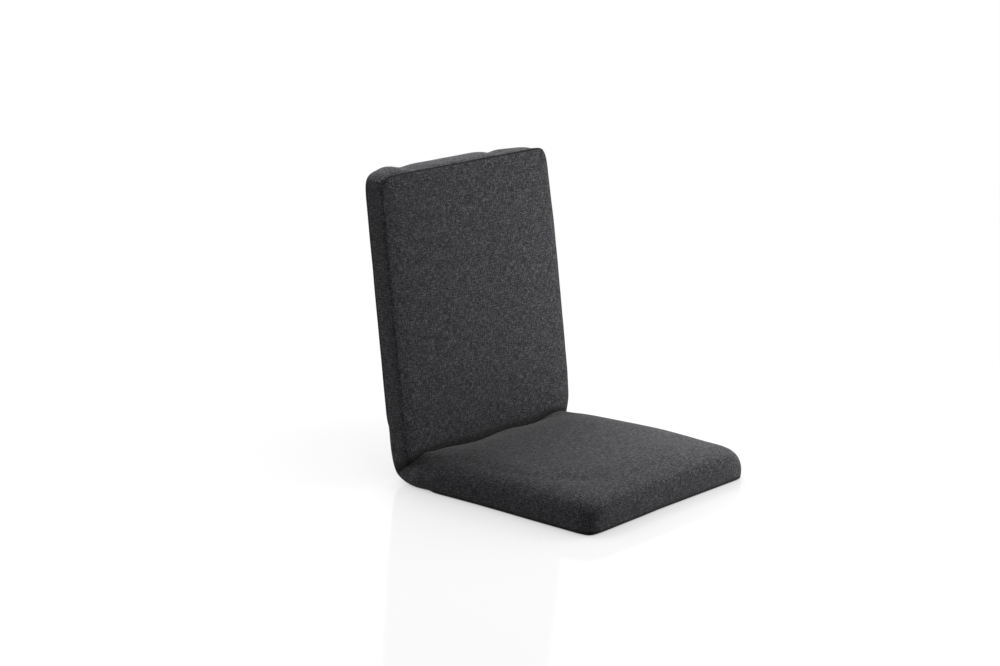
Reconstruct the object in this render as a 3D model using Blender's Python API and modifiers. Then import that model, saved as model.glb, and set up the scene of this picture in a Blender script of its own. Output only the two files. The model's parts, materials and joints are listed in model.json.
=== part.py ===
"""Legless folding floor chair: two upholstered pads on a tube frame with two ratchet hinges.

The sitter faces -Y. The origin is the middle of the seat's underside, on the floor.
Each pad is drawn in its own frame: the hinge axis is its X axis, the pad runs along -Y
and its sitting face looks along +Z. The back's frame is turned upright about the hinge axis.
"""

import math

import bmesh
import bpy
from mathutils import Matrix, Vector

# Pads: metres, measured from the hinge axis
PAD_WIDTH = 0.500
SEAT_LENGTH = 0.484
BACK_LENGTH = 0.585
SEAT_FACE = 0.024
SEAT_BASE = 0.044
BACK_FACE = 0.014
BACK_BASE = 0.040
PAD_START = 0.066

# Upholstery
SEAT_CROWN = 0.008
BACK_CROWN = 0.007
SEAT_ROLL = 0.026
BACK_ROLL = 0.010
CORNER_RADIUS = 0.026
SIDE_BULGE = 0.003
TOP_PUFF = 0.010
HEM_SETBACK = 0.002
FABRIC = 0.0015
SLEEVE_WALL = 0.003
CREASE_RADIUS = 0.004
GAP = 0.0003

# Shares that shape the upholstery
EDGE_DROP = 0.35
CORNER_SHARE = 0.75
WALL_TOP = 1.2
WALL_LOW = 0.3
CROWN_ACROSS = 3
CROWN_ALONG = 4
ELBOW_FULLNESS = 0.12

# Fold: degrees from the upright rest position
RECLINE = 6.5
CLICKS_TO_FLAT = 7

# Tube frames
TUBE_RADIUS = 0.008
BEND_RADIUS = 0.050
FRAME_INSET = 0.047
SEAT_TUBE_DROP = 0.010
BACK_TUBE_DROP = 0.015
FLAT_FROM = 0.036
FLAT_TO = 0.074
ROUND_FROM = 0.094
FLAT_THICK = 0.004
FLAT_HEIGHT = 0.022
RAIL_RADIUS = 0.006
RAIL_PLACE = 0.106

# Webbing
STRAP_WIDTH = 0.040
STRAP_THICK = 0.0016
STRAP_SLACK = 0.0006
STRAP_MARGIN = 0.060
STRAP_WRAP = 150.0
SEAT_STRAPS = 4
BACK_STRAPS = 5

# Ratchet hinge
GEAR_THICK = 0.004
GEAR_TIP = 0.0150
GEAR_ROOT = 0.0128
CHEEK_THICK = 0.0025
CHEEK_RADIUS = 0.0185
CHEEK_NECK = 115.0
GEAR_NECK = (150.0, 240.0)
FLANK_LEAN = 3.0
ARM_HALF = 0.009
ARM_END = 0.075
PAWL_PIVOT_RADIUS = 0.025
PAWL_PIVOT_TURN = 5.0
PAWL_NOSE_TURN = 50.0
PAWL_EYE = 0.0045
PAWL_NOSE_DEPTH = 0.005
PAWL_DROP = 8.0
SPRING_THICK = 0.0008
SPRING_WIDTH = 0.003
SPRING_TIP = 0.015
SPRING_SAG = 0.005
PIVOT_SHANK = 0.004
PIVOT_HEAD = 0.008
PIN_SHANK = 0.002
PIN_HEAD = 0.0036
RIVET_SHANK = 0.0025
RIVET_HEAD = 0.0045
HEAD_THICK = 0.0018
DOME_SHARE = 0.7
RIVET_PLACES = (0.046, 0.063)

# Zip along the top of the back's rear panel
ZIP_DROP = 0.030
ZIP_END_MARGIN = 0.040
CHAIN_WIDTH = 0.005
CHAIN_PROUD = 0.0014
SLIDER_LENGTH = 0.011
SLIDER_WIDTH = 0.008
SLIDER_PROUD = 0.0032
EAR_THICK = 0.0018
PULL_LENGTH = 0.024
PULL_WIDTH = 0.006
PULL_THICK = 0.0010
PULL_PIN = 0.0007
PULL_EYE = 0.0013

ROUND_STEPS = 12
HOLE_STEPS = 12
SOFT_ANGLE = 60.0
HARD_ANGLE = 40.0
WELD = 1e-6

# Finishes: base colour, roughness, metallic
MELANGE_CLOTH = ((0.045, 0.045, 0.048, 1.0), 0.95, 0.0)
BASE_CLOTH = ((0.020, 0.020, 0.022, 1.0), 0.95, 0.0)
FOAM = ((0.78, 0.74, 0.62, 1.0), 0.95, 0.0)
WEBBING = ((0.06, 0.06, 0.06, 1.0), 0.90, 0.0)
POWDER_COAT = ((0.025, 0.025, 0.027, 1.0), 0.55, 0.6)
ZINC_STEEL = ((0.62, 0.62, 0.60, 1.0), 0.38, 1.0)
SPRING_STEEL = ((0.35, 0.36, 0.38, 1.0), 0.30, 1.0)
ZIP_NYLON = ((0.015, 0.015, 0.016, 1.0), 0.60, 0.0)

OPEN_ANGLE = 90.0 + RECLINE
UPRIGHT = 90.0 - RECLINE
REAR_LENGTH = BACK_LENGTH + TOP_PUFF
CLICK = UPRIGHT / CLICKS_TO_FLAT
HALF = PAD_WIDTH / 2
CORNER_EASE = CORNER_SHARE * CORNER_RADIUS * (1 - math.cos(math.radians(45)))
HINGE_X = HALF - FRAME_INSET
SEAT_TUBE_X = HINGE_X + GEAR_THICK / 2 + GAP + FLAT_THICK / 2
BACK_TUBE_X = HINGE_X
HINGE_AXIS = Vector((0.0, SEAT_LENGTH / 2, SEAT_BASE))
WRAP = STRAP_SLACK + STRAP_THICK
PLATE_TURN = (math.radians(90), 0.0, math.radians(90))
STRAP_TURN = (math.radians(90), 0.0, 0.0)
SIDES = (("left", 1), ("right", -1))
PULL_PIN_PLACE = (SLIDER_WIDTH / 2 + PULL_PIN + GAP + GAP, -SLIDER_PROUD / 2 - GAP)


def clear_scene():
    for old in list(bpy.data.objects):
        bpy.data.objects.remove(old, do_unlink=True)


def new_collection(name):
    group = bpy.data.collections.new(name)
    bpy.context.scene.collection.children.link(group)
    return group


def empty(name, parent=None, location=(0, 0, 0), turn=(0, 0, 0)):
    """A plain axis that carries pieces; it sits on a joint's axis where they move."""
    axis = bpy.data.objects.new(name, None)
    axis.empty_display_size = 0.02
    PARTS.objects.link(axis)
    axis.parent = parent
    axis.location = location
    axis.rotation_euler = turn
    return axis


def finish(piece, look):
    colour, roughness, metallic = look
    surface = bpy.data.materials.new(piece.name)
    surface.use_nodes = True
    shader = surface.node_tree.nodes["Principled BSDF"]
    shader.inputs["Base Color"].default_value = colour
    shader.inputs["Roughness"].default_value = roughness
    shader.inputs["Metallic"].default_value = metallic
    surface.diffuse_color = colour
    piece.data.materials.append(surface)


def add_piece(name, data, parent, look, location=(0, 0, 0), turn=(0, 0, 0)):
    piece = bpy.data.objects.new(name, data)
    PARTS.objects.link(piece)
    piece.parent = parent
    piece.location = location
    piece.rotation_euler = turn
    finish(piece, look)
    return piece


def mesh_from(bm, name):
    mesh = bpy.data.meshes.new(name)
    bm.to_mesh(mesh)
    bm.free()
    return mesh


def smooth(piece, angle=HARD_ANGLE):
    piece.data.shade_smooth()
    piece.data.set_sharp_from_angle(angle=math.radians(angle))


def subdivide(piece):
    rounding = piece.modifiers.new("rounding", "SUBSURF")
    rounding.levels = 1
    rounding.render_levels = 1


def cutter_box(name, low, high, parent):
    bm = bmesh.new()
    bmesh.ops.create_cube(bm, size=1.0)
    low, high = Vector(low), Vector(high)
    bmesh.ops.scale(bm, vec=high - low, verts=bm.verts)
    bmesh.ops.translate(bm, vec=(low + high) / 2, verts=bm.verts)
    return add_cutter(name, mesh_from(bm, name), parent)


def cutter_rod(name, radius, x_from, x_to, y, z, parent):
    """A round cutter along X, for rivet holes."""
    bm = bmesh.new()
    bmesh.ops.create_cone(bm, cap_ends=True, segments=HOLE_STEPS, radius1=radius, radius2=radius,
                          depth=x_to - x_from)
    bmesh.ops.rotate(bm, verts=bm.verts, matrix=Matrix.Rotation(math.radians(90), 3, "Y"))
    bmesh.ops.translate(bm, vec=((x_from + x_to) / 2, y, z), verts=bm.verts)
    return add_cutter(name, mesh_from(bm, name), parent)


def add_cutter(name, mesh, parent):
    tool = bpy.data.objects.new(name, mesh)
    CUTTERS.objects.link(tool)
    tool.parent = parent
    tool.hide_render = True
    tool.display_type = "WIRE"
    return tool


def cut(piece, tool):
    removal = piece.modifiers.new("cut", "BOOLEAN")
    removal.operation = "DIFFERENCE"
    removal.object = tool


def join(piece, name, mesh, location=(0, 0, 0), turn=(0, 0, 0)):
    """Fuse another shape, placed in the same parent's frame, into a piece."""
    tool = add_cutter(name, mesh, piece.parent)
    tool.location = location
    tool.rotation_euler = turn
    fusing = piece.modifiers.new("fuse", "BOOLEAN")
    fusing.operation = "UNION"
    fusing.object = tool


def polar(radius, degrees):
    angle = math.radians(degrees)
    return (radius * math.cos(angle), radius * math.sin(angle))


def arc(centre, radius, start, stop, steps):
    """Points on an arc, both ends included."""
    points = []
    for step in range(steps + 1):
        across, up = polar(radius, start + (stop - start) * step / steps)
        points.append((centre[0] + across, centre[1] + up))
    return points


def circle(centre, radius):
    return arc(centre, radius, 0, 360 - 360 / HOLE_STEPS, HOLE_STEPS - 1)


def flat_curve(name, outlines, thickness):
    """A filled 2D curve: the first outline is the edge, the others are holes."""
    curve = bpy.data.curves.new(name, "CURVE")
    curve.dimensions = "2D"
    curve.fill_mode = "BOTH"
    curve.extrude = thickness / 2
    for outline in outlines:
        spline = curve.splines.new("POLY")
        spline.points.add(len(outline) - 1)
        for point, (across, up) in zip(spline.points, outline):
            point.co = (across, up, 0.0, 1.0)
        spline.use_cyclic_u = True
    return curve


def tube_mesh(name, path, radius):
    """A round tube or rod along a path, as a mesh that can be pressed flat and drilled."""
    curve = bpy.data.curves.new(name, "CURVE")
    curve.dimensions = "3D"
    curve.bevel_depth = radius
    curve.bevel_resolution = 4
    curve.use_fill_caps = True
    spline = curve.splines.new("POLY")
    spline.points.add(len(path) - 1)
    for point, place in zip(spline.points, path):
        point.co = (*place, 1.0)
    return welded_mesh(name, curve)


def welded_mesh(name, curve):
    """A curve's solid as a mesh whose caps are welded on, for Boolean work."""
    guide = bpy.data.objects.new(name + "_guide", curve)
    bpy.context.scene.collection.objects.link(guide)
    evaluated = guide.evaluated_get(bpy.context.evaluated_depsgraph_get())
    mesh = bpy.data.meshes.new_from_object(evaluated)
    bpy.data.objects.remove(guide, do_unlink=True)
    bpy.data.curves.remove(curve)
    bm = bmesh.new()
    bm.from_mesh(mesh)
    bmesh.ops.remove_doubles(bm, verts=bm.verts, dist=WELD)
    bm.to_mesh(mesh)
    bm.free()
    return mesh


def turned_pin(name, parent, look, x_from, x_to, shank, head, y, z):
    """A rivet along X with a flat head beyond each end of its grip."""
    half_grip = (x_to - x_from) / 2 + GAP
    half_all = half_grip + HEAD_THICK
    rim = half_all - HEAD_THICK / 2
    dome = head * DOME_SHARE
    profile = [(0, half_all), (dome, half_all), (head, rim), (head, half_grip), (shank, half_grip),
               (shank, -half_grip), (head, -half_grip), (head, -rim), (dome, -half_all), (0, -half_all)]
    bm = bmesh.new()
    points = [bm.verts.new((across, 0, up)) for across, up in profile]
    for first, second in zip(points, points[1:]):
        bm.edges.new((first, second))
    pin = add_piece(name, mesh_from(bm, name), parent, look, ((x_from + x_to) / 2, y, z),
                    (0, math.radians(90), 0))
    turning = pin.modifiers.new("turning", "SCREW")
    turning.steps = ROUND_STEPS
    turning.render_steps = ROUND_STEPS
    turning.use_merge_vertices = True
    turning.merge_threshold = WELD
    return pin


class Pad:
    """One pad's sizes, for the pieces that both pads share."""

    def __init__(self, name, length, face, base, crown, roll, puff, tube_x, tube_drop, straps):
        self.name = name
        self.length = length
        self.face = face
        self.base = -base
        self.crown = crown
        self.roll = roll
        self.puff = puff
        self.tube_x = tube_x
        self.tube_z = -tube_drop
        self.straps = straps

    def hem(self):
        return self.base + FABRIC + GAP

    def walls(self):
        """Outward step, rise at the far edge and height of the rings below the rolled edge."""
        height = self.face - self.base
        return ((SIDE_BULGE, self.puff / 2, self.face - WALL_TOP * self.roll),
                (SIDE_BULGE / 2, self.puff, self.base + WALL_LOW * height),
                (-HEM_SETBACK, self.puff, self.hem()))

    def edge_height(self):
        return self.face - EDGE_DROP * self.roll

    def margin(self):
        """Width of the border in which the face turns down and its corners turn round."""
        return max(self.roll, CORNER_RADIUS)

    def columns(self):
        inner = HALF - self.margin()
        right = (inner / 2, inner, HALF - HEM_SETBACK)
        return tuple(-x for x in reversed(right)) + (0.0,) + right

    def rows(self):
        """Places along the pad, from its far edge to the hinge sleeve."""
        first = self.length - self.margin()
        last = PAD_START + self.margin()
        middle = [first + (last - first) * share / 3 for share in (1, 2)]
        return tuple(-y for y in (self.length - HEM_SETBACK, first, *middle, last, PAD_START))

    def crown_at(self, x, y):
        """Swell of the face, which dies out at the side edges, the far edge and the sleeve."""
        across = 1 - (abs(x) / HALF) ** CROWN_ACROSS
        middle = (self.length + PAD_START) / 2
        along = 1 - (abs(-y - middle) / (self.length - middle)) ** CROWN_ALONG
        return self.crown * max(across, 0) * max(along, 0)


def grid_of(columns, rows):
    """A grid mesh whose lines run at the given places, with each vertex's column and row."""
    bm = bmesh.new()
    across, along = len(columns) - 1, len(rows) - 1
    bmesh.ops.create_grid(bm, x_segments=across, y_segments=along, size=1.0)
    places = []
    for vert in bm.verts:
        column = round((vert.co.x + 1) / 2 * across)
        row = round((vert.co.y + 1) / 2 * along)
        places.append((vert, column, row))
    return bm, places


def pad_cage(pad, inset):
    """Open cage of a pad's skin: the crowned face and three drawn-in walls, set in by inset."""
    columns, rows = pad.columns(), pad.rows()
    bm, places = grid_of(columns, rows)
    for vert, column, row in places:
        x, y = columns[column], rows[row]
        on_edge = column in (0, len(columns) - 1) or row == 0
        z = pad.edge_height() if on_edge else pad.face + pad.crown_at(x, y)
        vert.co = (x * (1 - inset / HALF), y + inset * (row == 0), z - inset)
    open_row = rows[-1]
    ring = [e for e in bm.edges if e.is_boundary and not all(v.co.y > open_row - GAP for v in e.verts)]
    side, far = HALF - pad.roll / 2, -(pad.length - pad.roll / 2)
    for outward, rise, height in pad.walls():
        grown = bmesh.ops.extrude_edge_only(bm, edges=ring)["geom"]
        lower = [item for item in grown if isinstance(item, bmesh.types.BMVert)]
        reach = outward - inset
        for vert in lower:
            if abs(vert.co.x) > side:
                vert.co.x = math.copysign(HALF + reach, vert.co.x)
            if vert.co.y < far:
                vert.co.y = -(pad.length + reach + rise)
            vert.co.z = height
        ring = [item for item in grown if isinstance(item, bmesh.types.BMEdge)
                and all(vert in lower for vert in item.verts)]
    for vert in bm.verts:
        if abs(vert.co.x) > side and vert.co.y < far:
            vert.co.x -= math.copysign(CORNER_EASE, vert.co.x)
            vert.co.y += CORNER_EASE
    bmesh.ops.recalc_face_normals(bm, faces=bm.faces)
    if sum(face.normal.z for face in bm.faces) < 0:
        bmesh.ops.reverse_faces(bm, faces=bm.faces)
    return bm


def pad_cover(name, pad, parent):
    """Sewn cover: face and boxing as one thin shell, open at the underside and at the sleeve."""
    cover = add_piece(name, mesh_from(pad_cage(pad, 0.0), name), parent, MELANGE_CLOTH)
    subdivide(cover)
    wall = cover.modifiers.new("cloth", "SOLIDIFY")
    wall.thickness = FABRIC
    wall.offset = -1.0
    wall.use_even_offset = True
    smooth(cover, SOFT_ANGLE)


def pocket(pad):
    """Corners of the hollow in the foam that takes the frame and its webbing."""
    half = pad.tube_x + TUBE_RADIUS + WRAP + GAP
    far = pad.length - FRAME_INSET + TUBE_RADIUS + GAP
    top = pad.tube_z + max(TUBE_RADIUS + WRAP, FLAT_HEIGHT / 2, ARM_HALF) + GAP
    return half, far, top


def pad_foam(name, pad, parent):
    """Upper foam: fills the cover and is hollowed from below for the frame."""
    bm = pad_cage(pad, FABRIC + GAP)
    crease = bm.edges.layers.float.new("crease_edge")
    ends = [v for v in bm.verts if v.is_boundary and v.co.z < pad.hem() + GAP and v.co.y > -PAD_START - GAP]
    bm.edges.new(ends)
    rims = [e for e in bm.edges if len(e.link_faces) < 2]
    bmesh.ops.edgenet_fill(bm, edges=rims)
    for edge in rims:
        edge[crease] = 1.0
    bmesh.ops.recalc_face_normals(bm, faces=bm.faces)
    foam = add_piece(name, mesh_from(bm, name), parent, FOAM)
    subdivide(foam)
    half, far, top = pocket(pad)
    cut(foam, cutter_box(name + "_hollow", (-half, -far, pad.base - PAD_START),
                         (half, 0, top), parent))
    smooth(foam, SOFT_ANGLE)


def far_rounded(half, near, far, radius):
    """Outline of a panel, square at the hinge end and rounded at its far corners."""
    outline = [(half, -near), (-half, -near)]
    outline += arc((-half + radius, -far + radius), radius, 180, 270, 4)
    outline += arc((half - radius, -far + radius), radius, 270, 360, 4)
    return outline


def panel(name, parent, look, outline, low, high):
    curve = flat_curve(name, [outline], high - low)
    return add_piece(name, curve, parent, look, (0, 0, (low + high) / 2))


def pad_core(name, pad, parent):
    """Foam block that fills the frame's inside, below the webbing."""
    half = pad.tube_x - TUBE_RADIUS - WRAP - GAP
    far = pad.length - FRAME_INSET - TUBE_RADIUS - GAP
    near = RAIL_PLACE + RAIL_RADIUS + GAP
    panel(name, parent, FOAM, far_rounded(half, near, far, BEND_RADIUS), pad.hem(),
          pad.tube_z + TUBE_RADIUS)


def press_flat(mesh, pad):
    """Flatten both tube ends for riveting, easing back to round further along."""
    for vert in mesh.vertices:
        share = (vert.co.y + ROUND_FROM) / (ROUND_FROM - FLAT_TO)
        share = min(max(share, 0.0), 1.0)
        share = share * share * (3 - 2 * share)
        middle = math.copysign(pad.tube_x, vert.co.x)
        thin = 1 + (FLAT_THICK / 2 / TUBE_RADIUS - 1) * share
        tall = 1 + (FLAT_HEIGHT / 2 / TUBE_RADIUS - 1) * share
        vert.co.x = middle + (vert.co.x - middle) * thin
        vert.co.z = pad.tube_z + (vert.co.z - pad.tube_z) * tall


def pad_frame(name, pad, parent):
    """Bent tube: two legs from the hinges, joined by a bow at the pad's far end."""
    far = -(pad.length - FRAME_INSET)
    easing = [FLAT_TO + (ROUND_FROM - FLAT_TO) * step / 4 for step in range(5)]
    leg = [(pad.tube_x, -y) for y in (FLAT_FROM, *easing)]
    leg += arc((pad.tube_x - BEND_RADIUS, far + BEND_RADIUS), BEND_RADIUS, 0, -90, 6)
    path = leg + [(-x, y) for x, y in reversed(leg)]
    mesh = tube_mesh(name, [(x, y, pad.tube_z) for x, y in path], TUBE_RADIUS)
    press_flat(mesh, pad)
    frame = add_piece(name, mesh, parent, POWDER_COAT)
    for side, sign in SIDES:
        for count, place in enumerate(RIVET_PLACES):
            middle = sign * pad.tube_x
            hole = cutter_rod(f"{name}_hole_{side}_{count}", RIVET_SHANK + GAP, middle - TUBE_RADIUS,
                              middle + TUBE_RADIUS, -place, pad.tube_z, parent)
            cut(frame, hole)
    smooth(frame)


def cross_rail(name, pad, parent):
    """Straight tube welded between the legs just past the hinges."""
    reach = pad.tube_x - TUBE_RADIUS - GAP
    path = [(-reach, -RAIL_PLACE, pad.tube_z), (reach, -RAIL_PLACE, pad.tube_z)]
    rail = add_piece(name, tube_mesh(name, path, RAIL_RADIUS), parent, POWDER_COAT)
    smooth(rail)


def strap_outline(pad):
    """Section of a webbing strap that lies over both legs and wraps round them."""
    inner = TUBE_RADIUS + STRAP_SLACK
    loops = [arc((pad.tube_x, pad.tube_z), radius, 90, -STRAP_WRAP, 8) for radius in (inner, inner + STRAP_THICK)]
    under, over = loops
    outline = [(-x, z) for x, z in reversed(over)] + over
    return outline + list(reversed(under)) + [(-x, z) for x, z in under]


def webbing(pad, parent):
    """Straps spread evenly along the legs."""
    near = RAIL_PLACE + RAIL_RADIUS + STRAP_MARGIN
    far = pad.length - FRAME_INSET - BEND_RADIUS - STRAP_WIDTH / 2
    for count in range(pad.straps):
        place = near + (far - near) * count / (pad.straps - 1)
        name = f"{pad.name}_webbing_{count + 1}"
        curve = flat_curve(name, [strap_outline(pad)], STRAP_WIDTH)
        add_piece(name, curve, parent, WEBBING, (0, -place, 0), STRAP_TURN)


def plate(name, parent, look, outlines, thickness, x):
    """A stamped plate square to the hinge axis."""
    return add_piece(name, flat_curve(name, outlines, thickness), parent, look, (x, 0, 0), PLATE_TURN)


def arm_end(drop):
    """Rounded end of a hinge arm along a flattened tube."""
    corner = ARM_HALF / 2
    low, high = -drop - ARM_HALF, -drop + ARM_HALF
    upper = arc((-ARM_END + corner, high - corner), corner, 90, 180, 3)
    lower = arc((-ARM_END + corner, low + corner), corner, 180, 270, 3)
    return [(-FLAT_FROM, high)] + upper + lower + [(-FLAT_FROM, low)]


def arm_holes(drop):
    return [circle((-place, -drop), RIVET_SHANK + GAP) for place in RIVET_PLACES]


def gear_outline():
    """Toothed sector on the seat's arm: steep flanks hold the back, sloped ones let it rise."""
    nose = UPRIGHT - PAWL_NOSE_TURN
    below = CLICKS_TO_FLAT + 1
    above = CLICKS_TO_FLAT - 1
    outline = []
    for tooth in range(-below, above + 1):
        flank = nose + tooth * CLICK
        outline.append(polar(GEAR_TIP, flank - FLANK_LEAN))
        outline.append(polar(GEAR_ROOT, flank))
    upper, lower = GEAR_NECK
    last = nose + (above + 1) * CLICK - FLANK_LEAN
    outline += arc((0, 0), GEAR_TIP, last, upper, 2)
    outline += arm_end(SEAT_TUBE_DROP)
    return outline + arc((0, 0), GEAR_TIP, lower, 360 + nose - below * CLICK - 2 * FLANK_LEAN, 4)


def cheek_outline():
    """Round-headed arm on the back: its head covers the teeth, its waist holds the pawl."""
    outline = arc((0, 0), CHEEK_RADIUS, -CHEEK_NECK, CHEEK_NECK, 14)
    return outline + arm_end(BACK_TUBE_DROP)


def pawl_pivot():
    return polar(PAWL_PIVOT_RADIUS, 180 + PAWL_PIVOT_TURN)


def turned_about(points, centre, degrees):
    turn = Matrix.Rotation(math.radians(degrees), 2)
    middle = Vector(centre)
    return [tuple(middle + turn @ (Vector(point) - middle)) for point in points]


def pawl_outline():
    """Pawl drawn engaged in a tooth gap, then swung clear of the teeth."""
    flank = 180 + PAWL_NOSE_TURN
    ease = math.degrees(GAP / GEAR_ROOT)
    pivot = pawl_pivot()
    tip = polar(GEAR_ROOT + GAP, flank - ease)
    shoulder = polar(GEAR_TIP + GAP + GAP, flank - CLICK + FLANK_LEAN)
    crown = polar(GEAR_TIP + PAWL_NOSE_DEPTH, flank - ease)
    toward = math.degrees(math.atan2(pivot[1] - tip[1], pivot[0] - tip[0]))
    eye = arc(pivot, PAWL_EYE, toward - 90, toward + 90, 8)
    return turned_about([tip, shoulder, *eye, crown], pivot, -PAWL_DROP)


def spring_outline():
    """Leaf spring from the flattened tube's end to the pawl's back."""
    root = FLAT_FROM - GAP
    start = BACK_TUBE_DROP - SPRING_THICK
    upper, lower = [], []
    for step in range(7):
        share = step / 6
        y = -(root + (SPRING_TIP - root) * share)
        z = -(start + SPRING_SAG * share * share)
        upper.append((y, z + SPRING_THICK / 2))
        lower.append((y, z - SPRING_THICK / 2))
    return upper + list(reversed(lower))


def hinge(side, sign, seat_axis, back_axis):
    """One ratchet hinge; x runs along the seat's frame, and the back's frame is turned end for end."""
    seat_x = sign * HINGE_X
    back_x = -seat_x
    pivot_hole = circle((0, 0), PIVOT_SHANK + GAP)
    pivot = pawl_pivot()
    plate(f"hinge_gear_plate_{side}", seat_axis, ZINC_STEEL,
          [gear_outline(), pivot_hole, *arm_holes(SEAT_TUBE_DROP)], GEAR_THICK, seat_x)
    cheek_step = GEAR_THICK / 2 + GAP + CHEEK_THICK / 2
    cheek_cuts = [pivot_hole, circle(pivot, PIN_SHANK + GAP), *arm_holes(BACK_TUBE_DROP)]
    for place, step in (("inner", -cheek_step), ("outer", cheek_step)):
        plate(f"hinge_cheek_{place}_{side}", back_axis, ZINC_STEEL,
              [cheek_outline(), *cheek_cuts], CHEEK_THICK, back_x - sign * step)
    pawl_axis = empty(f"pawl_axis_{side}", back_axis, (back_x, *pivot))
    eye = circle(pivot, PIN_SHANK + GAP)
    outlines = [[(y - pivot[0], z - pivot[1]) for y, z in line] for line in (pawl_outline(), eye)]
    plate(f"pawl_{side}", pawl_axis, SPRING_STEEL, outlines, GEAR_THICK, 0)
    plate(f"pawl_spring_{side}", back_axis, SPRING_STEEL, [spring_outline()], SPRING_WIDTH, back_x)
    grip = cheek_step + CHEEK_THICK / 2
    turned_pin(f"hinge_pivot_rivet_{side}", back_axis, ZINC_STEEL, back_x - grip, back_x + grip,
               PIVOT_SHANK, PIVOT_HEAD, 0, 0)
    turned_pin(f"pawl_pin_{side}", back_axis, ZINC_STEEL, back_x - grip, back_x + grip,
               PIN_SHANK, PIN_HEAD, *pivot)
    arm_face = seat_x - sign * GEAR_THICK / 2
    tube_face = sign * (SEAT_TUBE_X + FLAT_THICK / 2)
    for count, place in enumerate(RIVET_PLACES, 1):
        turned_pin(f"back_rivet_{side}_{count}", back_axis, ZINC_STEEL, back_x - grip, back_x + grip,
                   RIVET_SHANK, RIVET_HEAD, -place, -BACK_TUBE_DROP)
        turned_pin(f"seat_rivet_{side}_{count}", seat_axis, ZINC_STEEL, min(arm_face, tube_face),
                   max(arm_face, tube_face), RIVET_SHANK, RIVET_HEAD, -place, -SEAT_TUBE_DROP)


def sleeve_ring(pad, low):
    """Closed section of the hinge sleeve: offset across and depth below the sitting face."""
    right = [(HALF - HEM_SETBACK, pad.face - pad.edge_height())]
    right += [(HALF + outward, pad.face - height) for outward, rise, height in pad.walls()[:-1]]
    inner = HALF - pad.margin()
    right += [(HALF - HEM_SETBACK, pad.face - low), (inner, pad.face - low)]
    right = [(inner / 2, 0.0), (inner, 0.0)] + right
    left = [(-x, depth) for x, depth in right]
    return [(0.0, 0.0), *right, (0.0, pad.face - low), *reversed(left)]


def hinge_sleeve(name, seat, back, seat_axis):
    """Soft elbow of quilted cloth round the hinges, from one pad to the other."""
    angle = math.radians(OPEN_ANGLE)
    seat_reach = (BACK_FACE + SEAT_FACE * math.cos(angle)) / math.sin(angle)
    back_reach = (SEAT_FACE + BACK_FACE * math.cos(angle)) / math.sin(angle)
    foot = CREASE_RADIUS / math.tan(angle / 2)
    seat_near, back_near = seat_reach + foot, back_reach + foot
    end = PAD_START - GAP
    stations = [("seat", end), ("seat", (end + seat_near) / 2)]
    stations += [("turn", share / 3) for share in range(4)]
    stations += [("back", (end + back_near) / 2), ("back", end)]
    rings = {"seat": sleeve_ring(seat, seat.base + GAP), "back": sleeve_ring(back, back.base + GAP)}
    count = len(rings["seat"])
    bm, places = grid_of(range(count + 1), stations)
    along_back = Vector((math.cos(math.radians(UPRIGHT)), math.sin(math.radians(UPRIGHT))))
    into_back = Vector((along_back.y, -along_back.x))
    for vert, column, row in places:
        kind, value = stations[row]
        seat_x, seat_depth = rings["seat"][column % count]
        back_x, back_depth = rings["back"][column % count]
        if kind == "seat":
            vert.co = (seat_x, -value, SEAT_FACE - seat_depth)
        elif kind == "back":
            place = along_back * value + into_back * (back_depth - BACK_FACE)
            vert.co = (back_x, place.x, place.y)
        else:
            swing = math.radians(UPRIGHT) * value
            depth = seat_depth + (back_depth - seat_depth) * value + CREASE_RADIUS
            depth *= 1 + ELBOW_FULLNESS * math.sin(math.pi * value)
            x = seat_x + (back_x - seat_x) * value
            vert.co = (x, -seat_near + depth * math.sin(swing),
                       SEAT_FACE + CREASE_RADIUS - depth * math.cos(swing))
    bmesh.ops.remove_doubles(bm, verts=bm.verts, dist=WELD)
    bmesh.ops.recalc_face_normals(bm, faces=bm.faces)
    sleeve = add_piece(name, mesh_from(bm, name), seat_axis, MELANGE_CLOTH)
    subdivide(sleeve)
    wall = sleeve.modifiers.new("quilting", "SOLIDIFY")
    wall.thickness = SLEEVE_WALL
    wall.offset = -1.0
    smooth(sleeve, SOFT_ANGLE)


def zip_span():
    """Near and far edge of the zip tape and half its length."""
    return REAR_LENGTH - ZIP_DROP + GAP, REAR_LENGTH - HEM_SETBACK - GAP, HALF - ZIP_END_MARGIN


def rear_panel_outline(half):
    """Rear panel with a notch along its top edge for the zip tape."""
    near, far, reach = zip_span()
    outline = far_rounded(half, PAD_START + GAP, REAR_LENGTH - HEM_SETBACK, CORNER_RADIUS)
    notch = [(-reach - GAP, -far - GAP), (-reach - GAP, GAP - near), (reach + GAP, GAP - near),
             (reach + GAP, -far - GAP)]
    corner = len(outline) // 2 + 1
    return outline[:corner] + notch + outline[corner:]


def zip_fastener(back_axis):
    """Zip tape with its chain, the slider on the chain and the pull tab in the slider's ears."""
    near, far, reach = zip_span()
    middle = -(near + far) / 2
    tape_half = (far - near) / 2
    chain_half = CHAIN_WIDTH / 2
    section = [(-tape_half, FABRIC), (-tape_half, 0), (-chain_half, 0), (-chain_half, -CHAIN_PROUD),
               (chain_half, -CHAIN_PROUD), (chain_half, 0), (tape_half, 0), (tape_half, FABRIC)]
    tape = flat_curve("zip_tape", [section], 2 * reach)
    add_piece("zip_tape", tape, back_axis, ZIP_NYLON, (0, middle, -BACK_BASE), PLATE_TURN)
    slider_axis = empty("zip_slider_axis", back_axis, (reach - SLIDER_LENGTH, middle, -BACK_BASE))
    zip_slider(slider_axis, chain_half)
    zip_pull(slider_axis)


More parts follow.
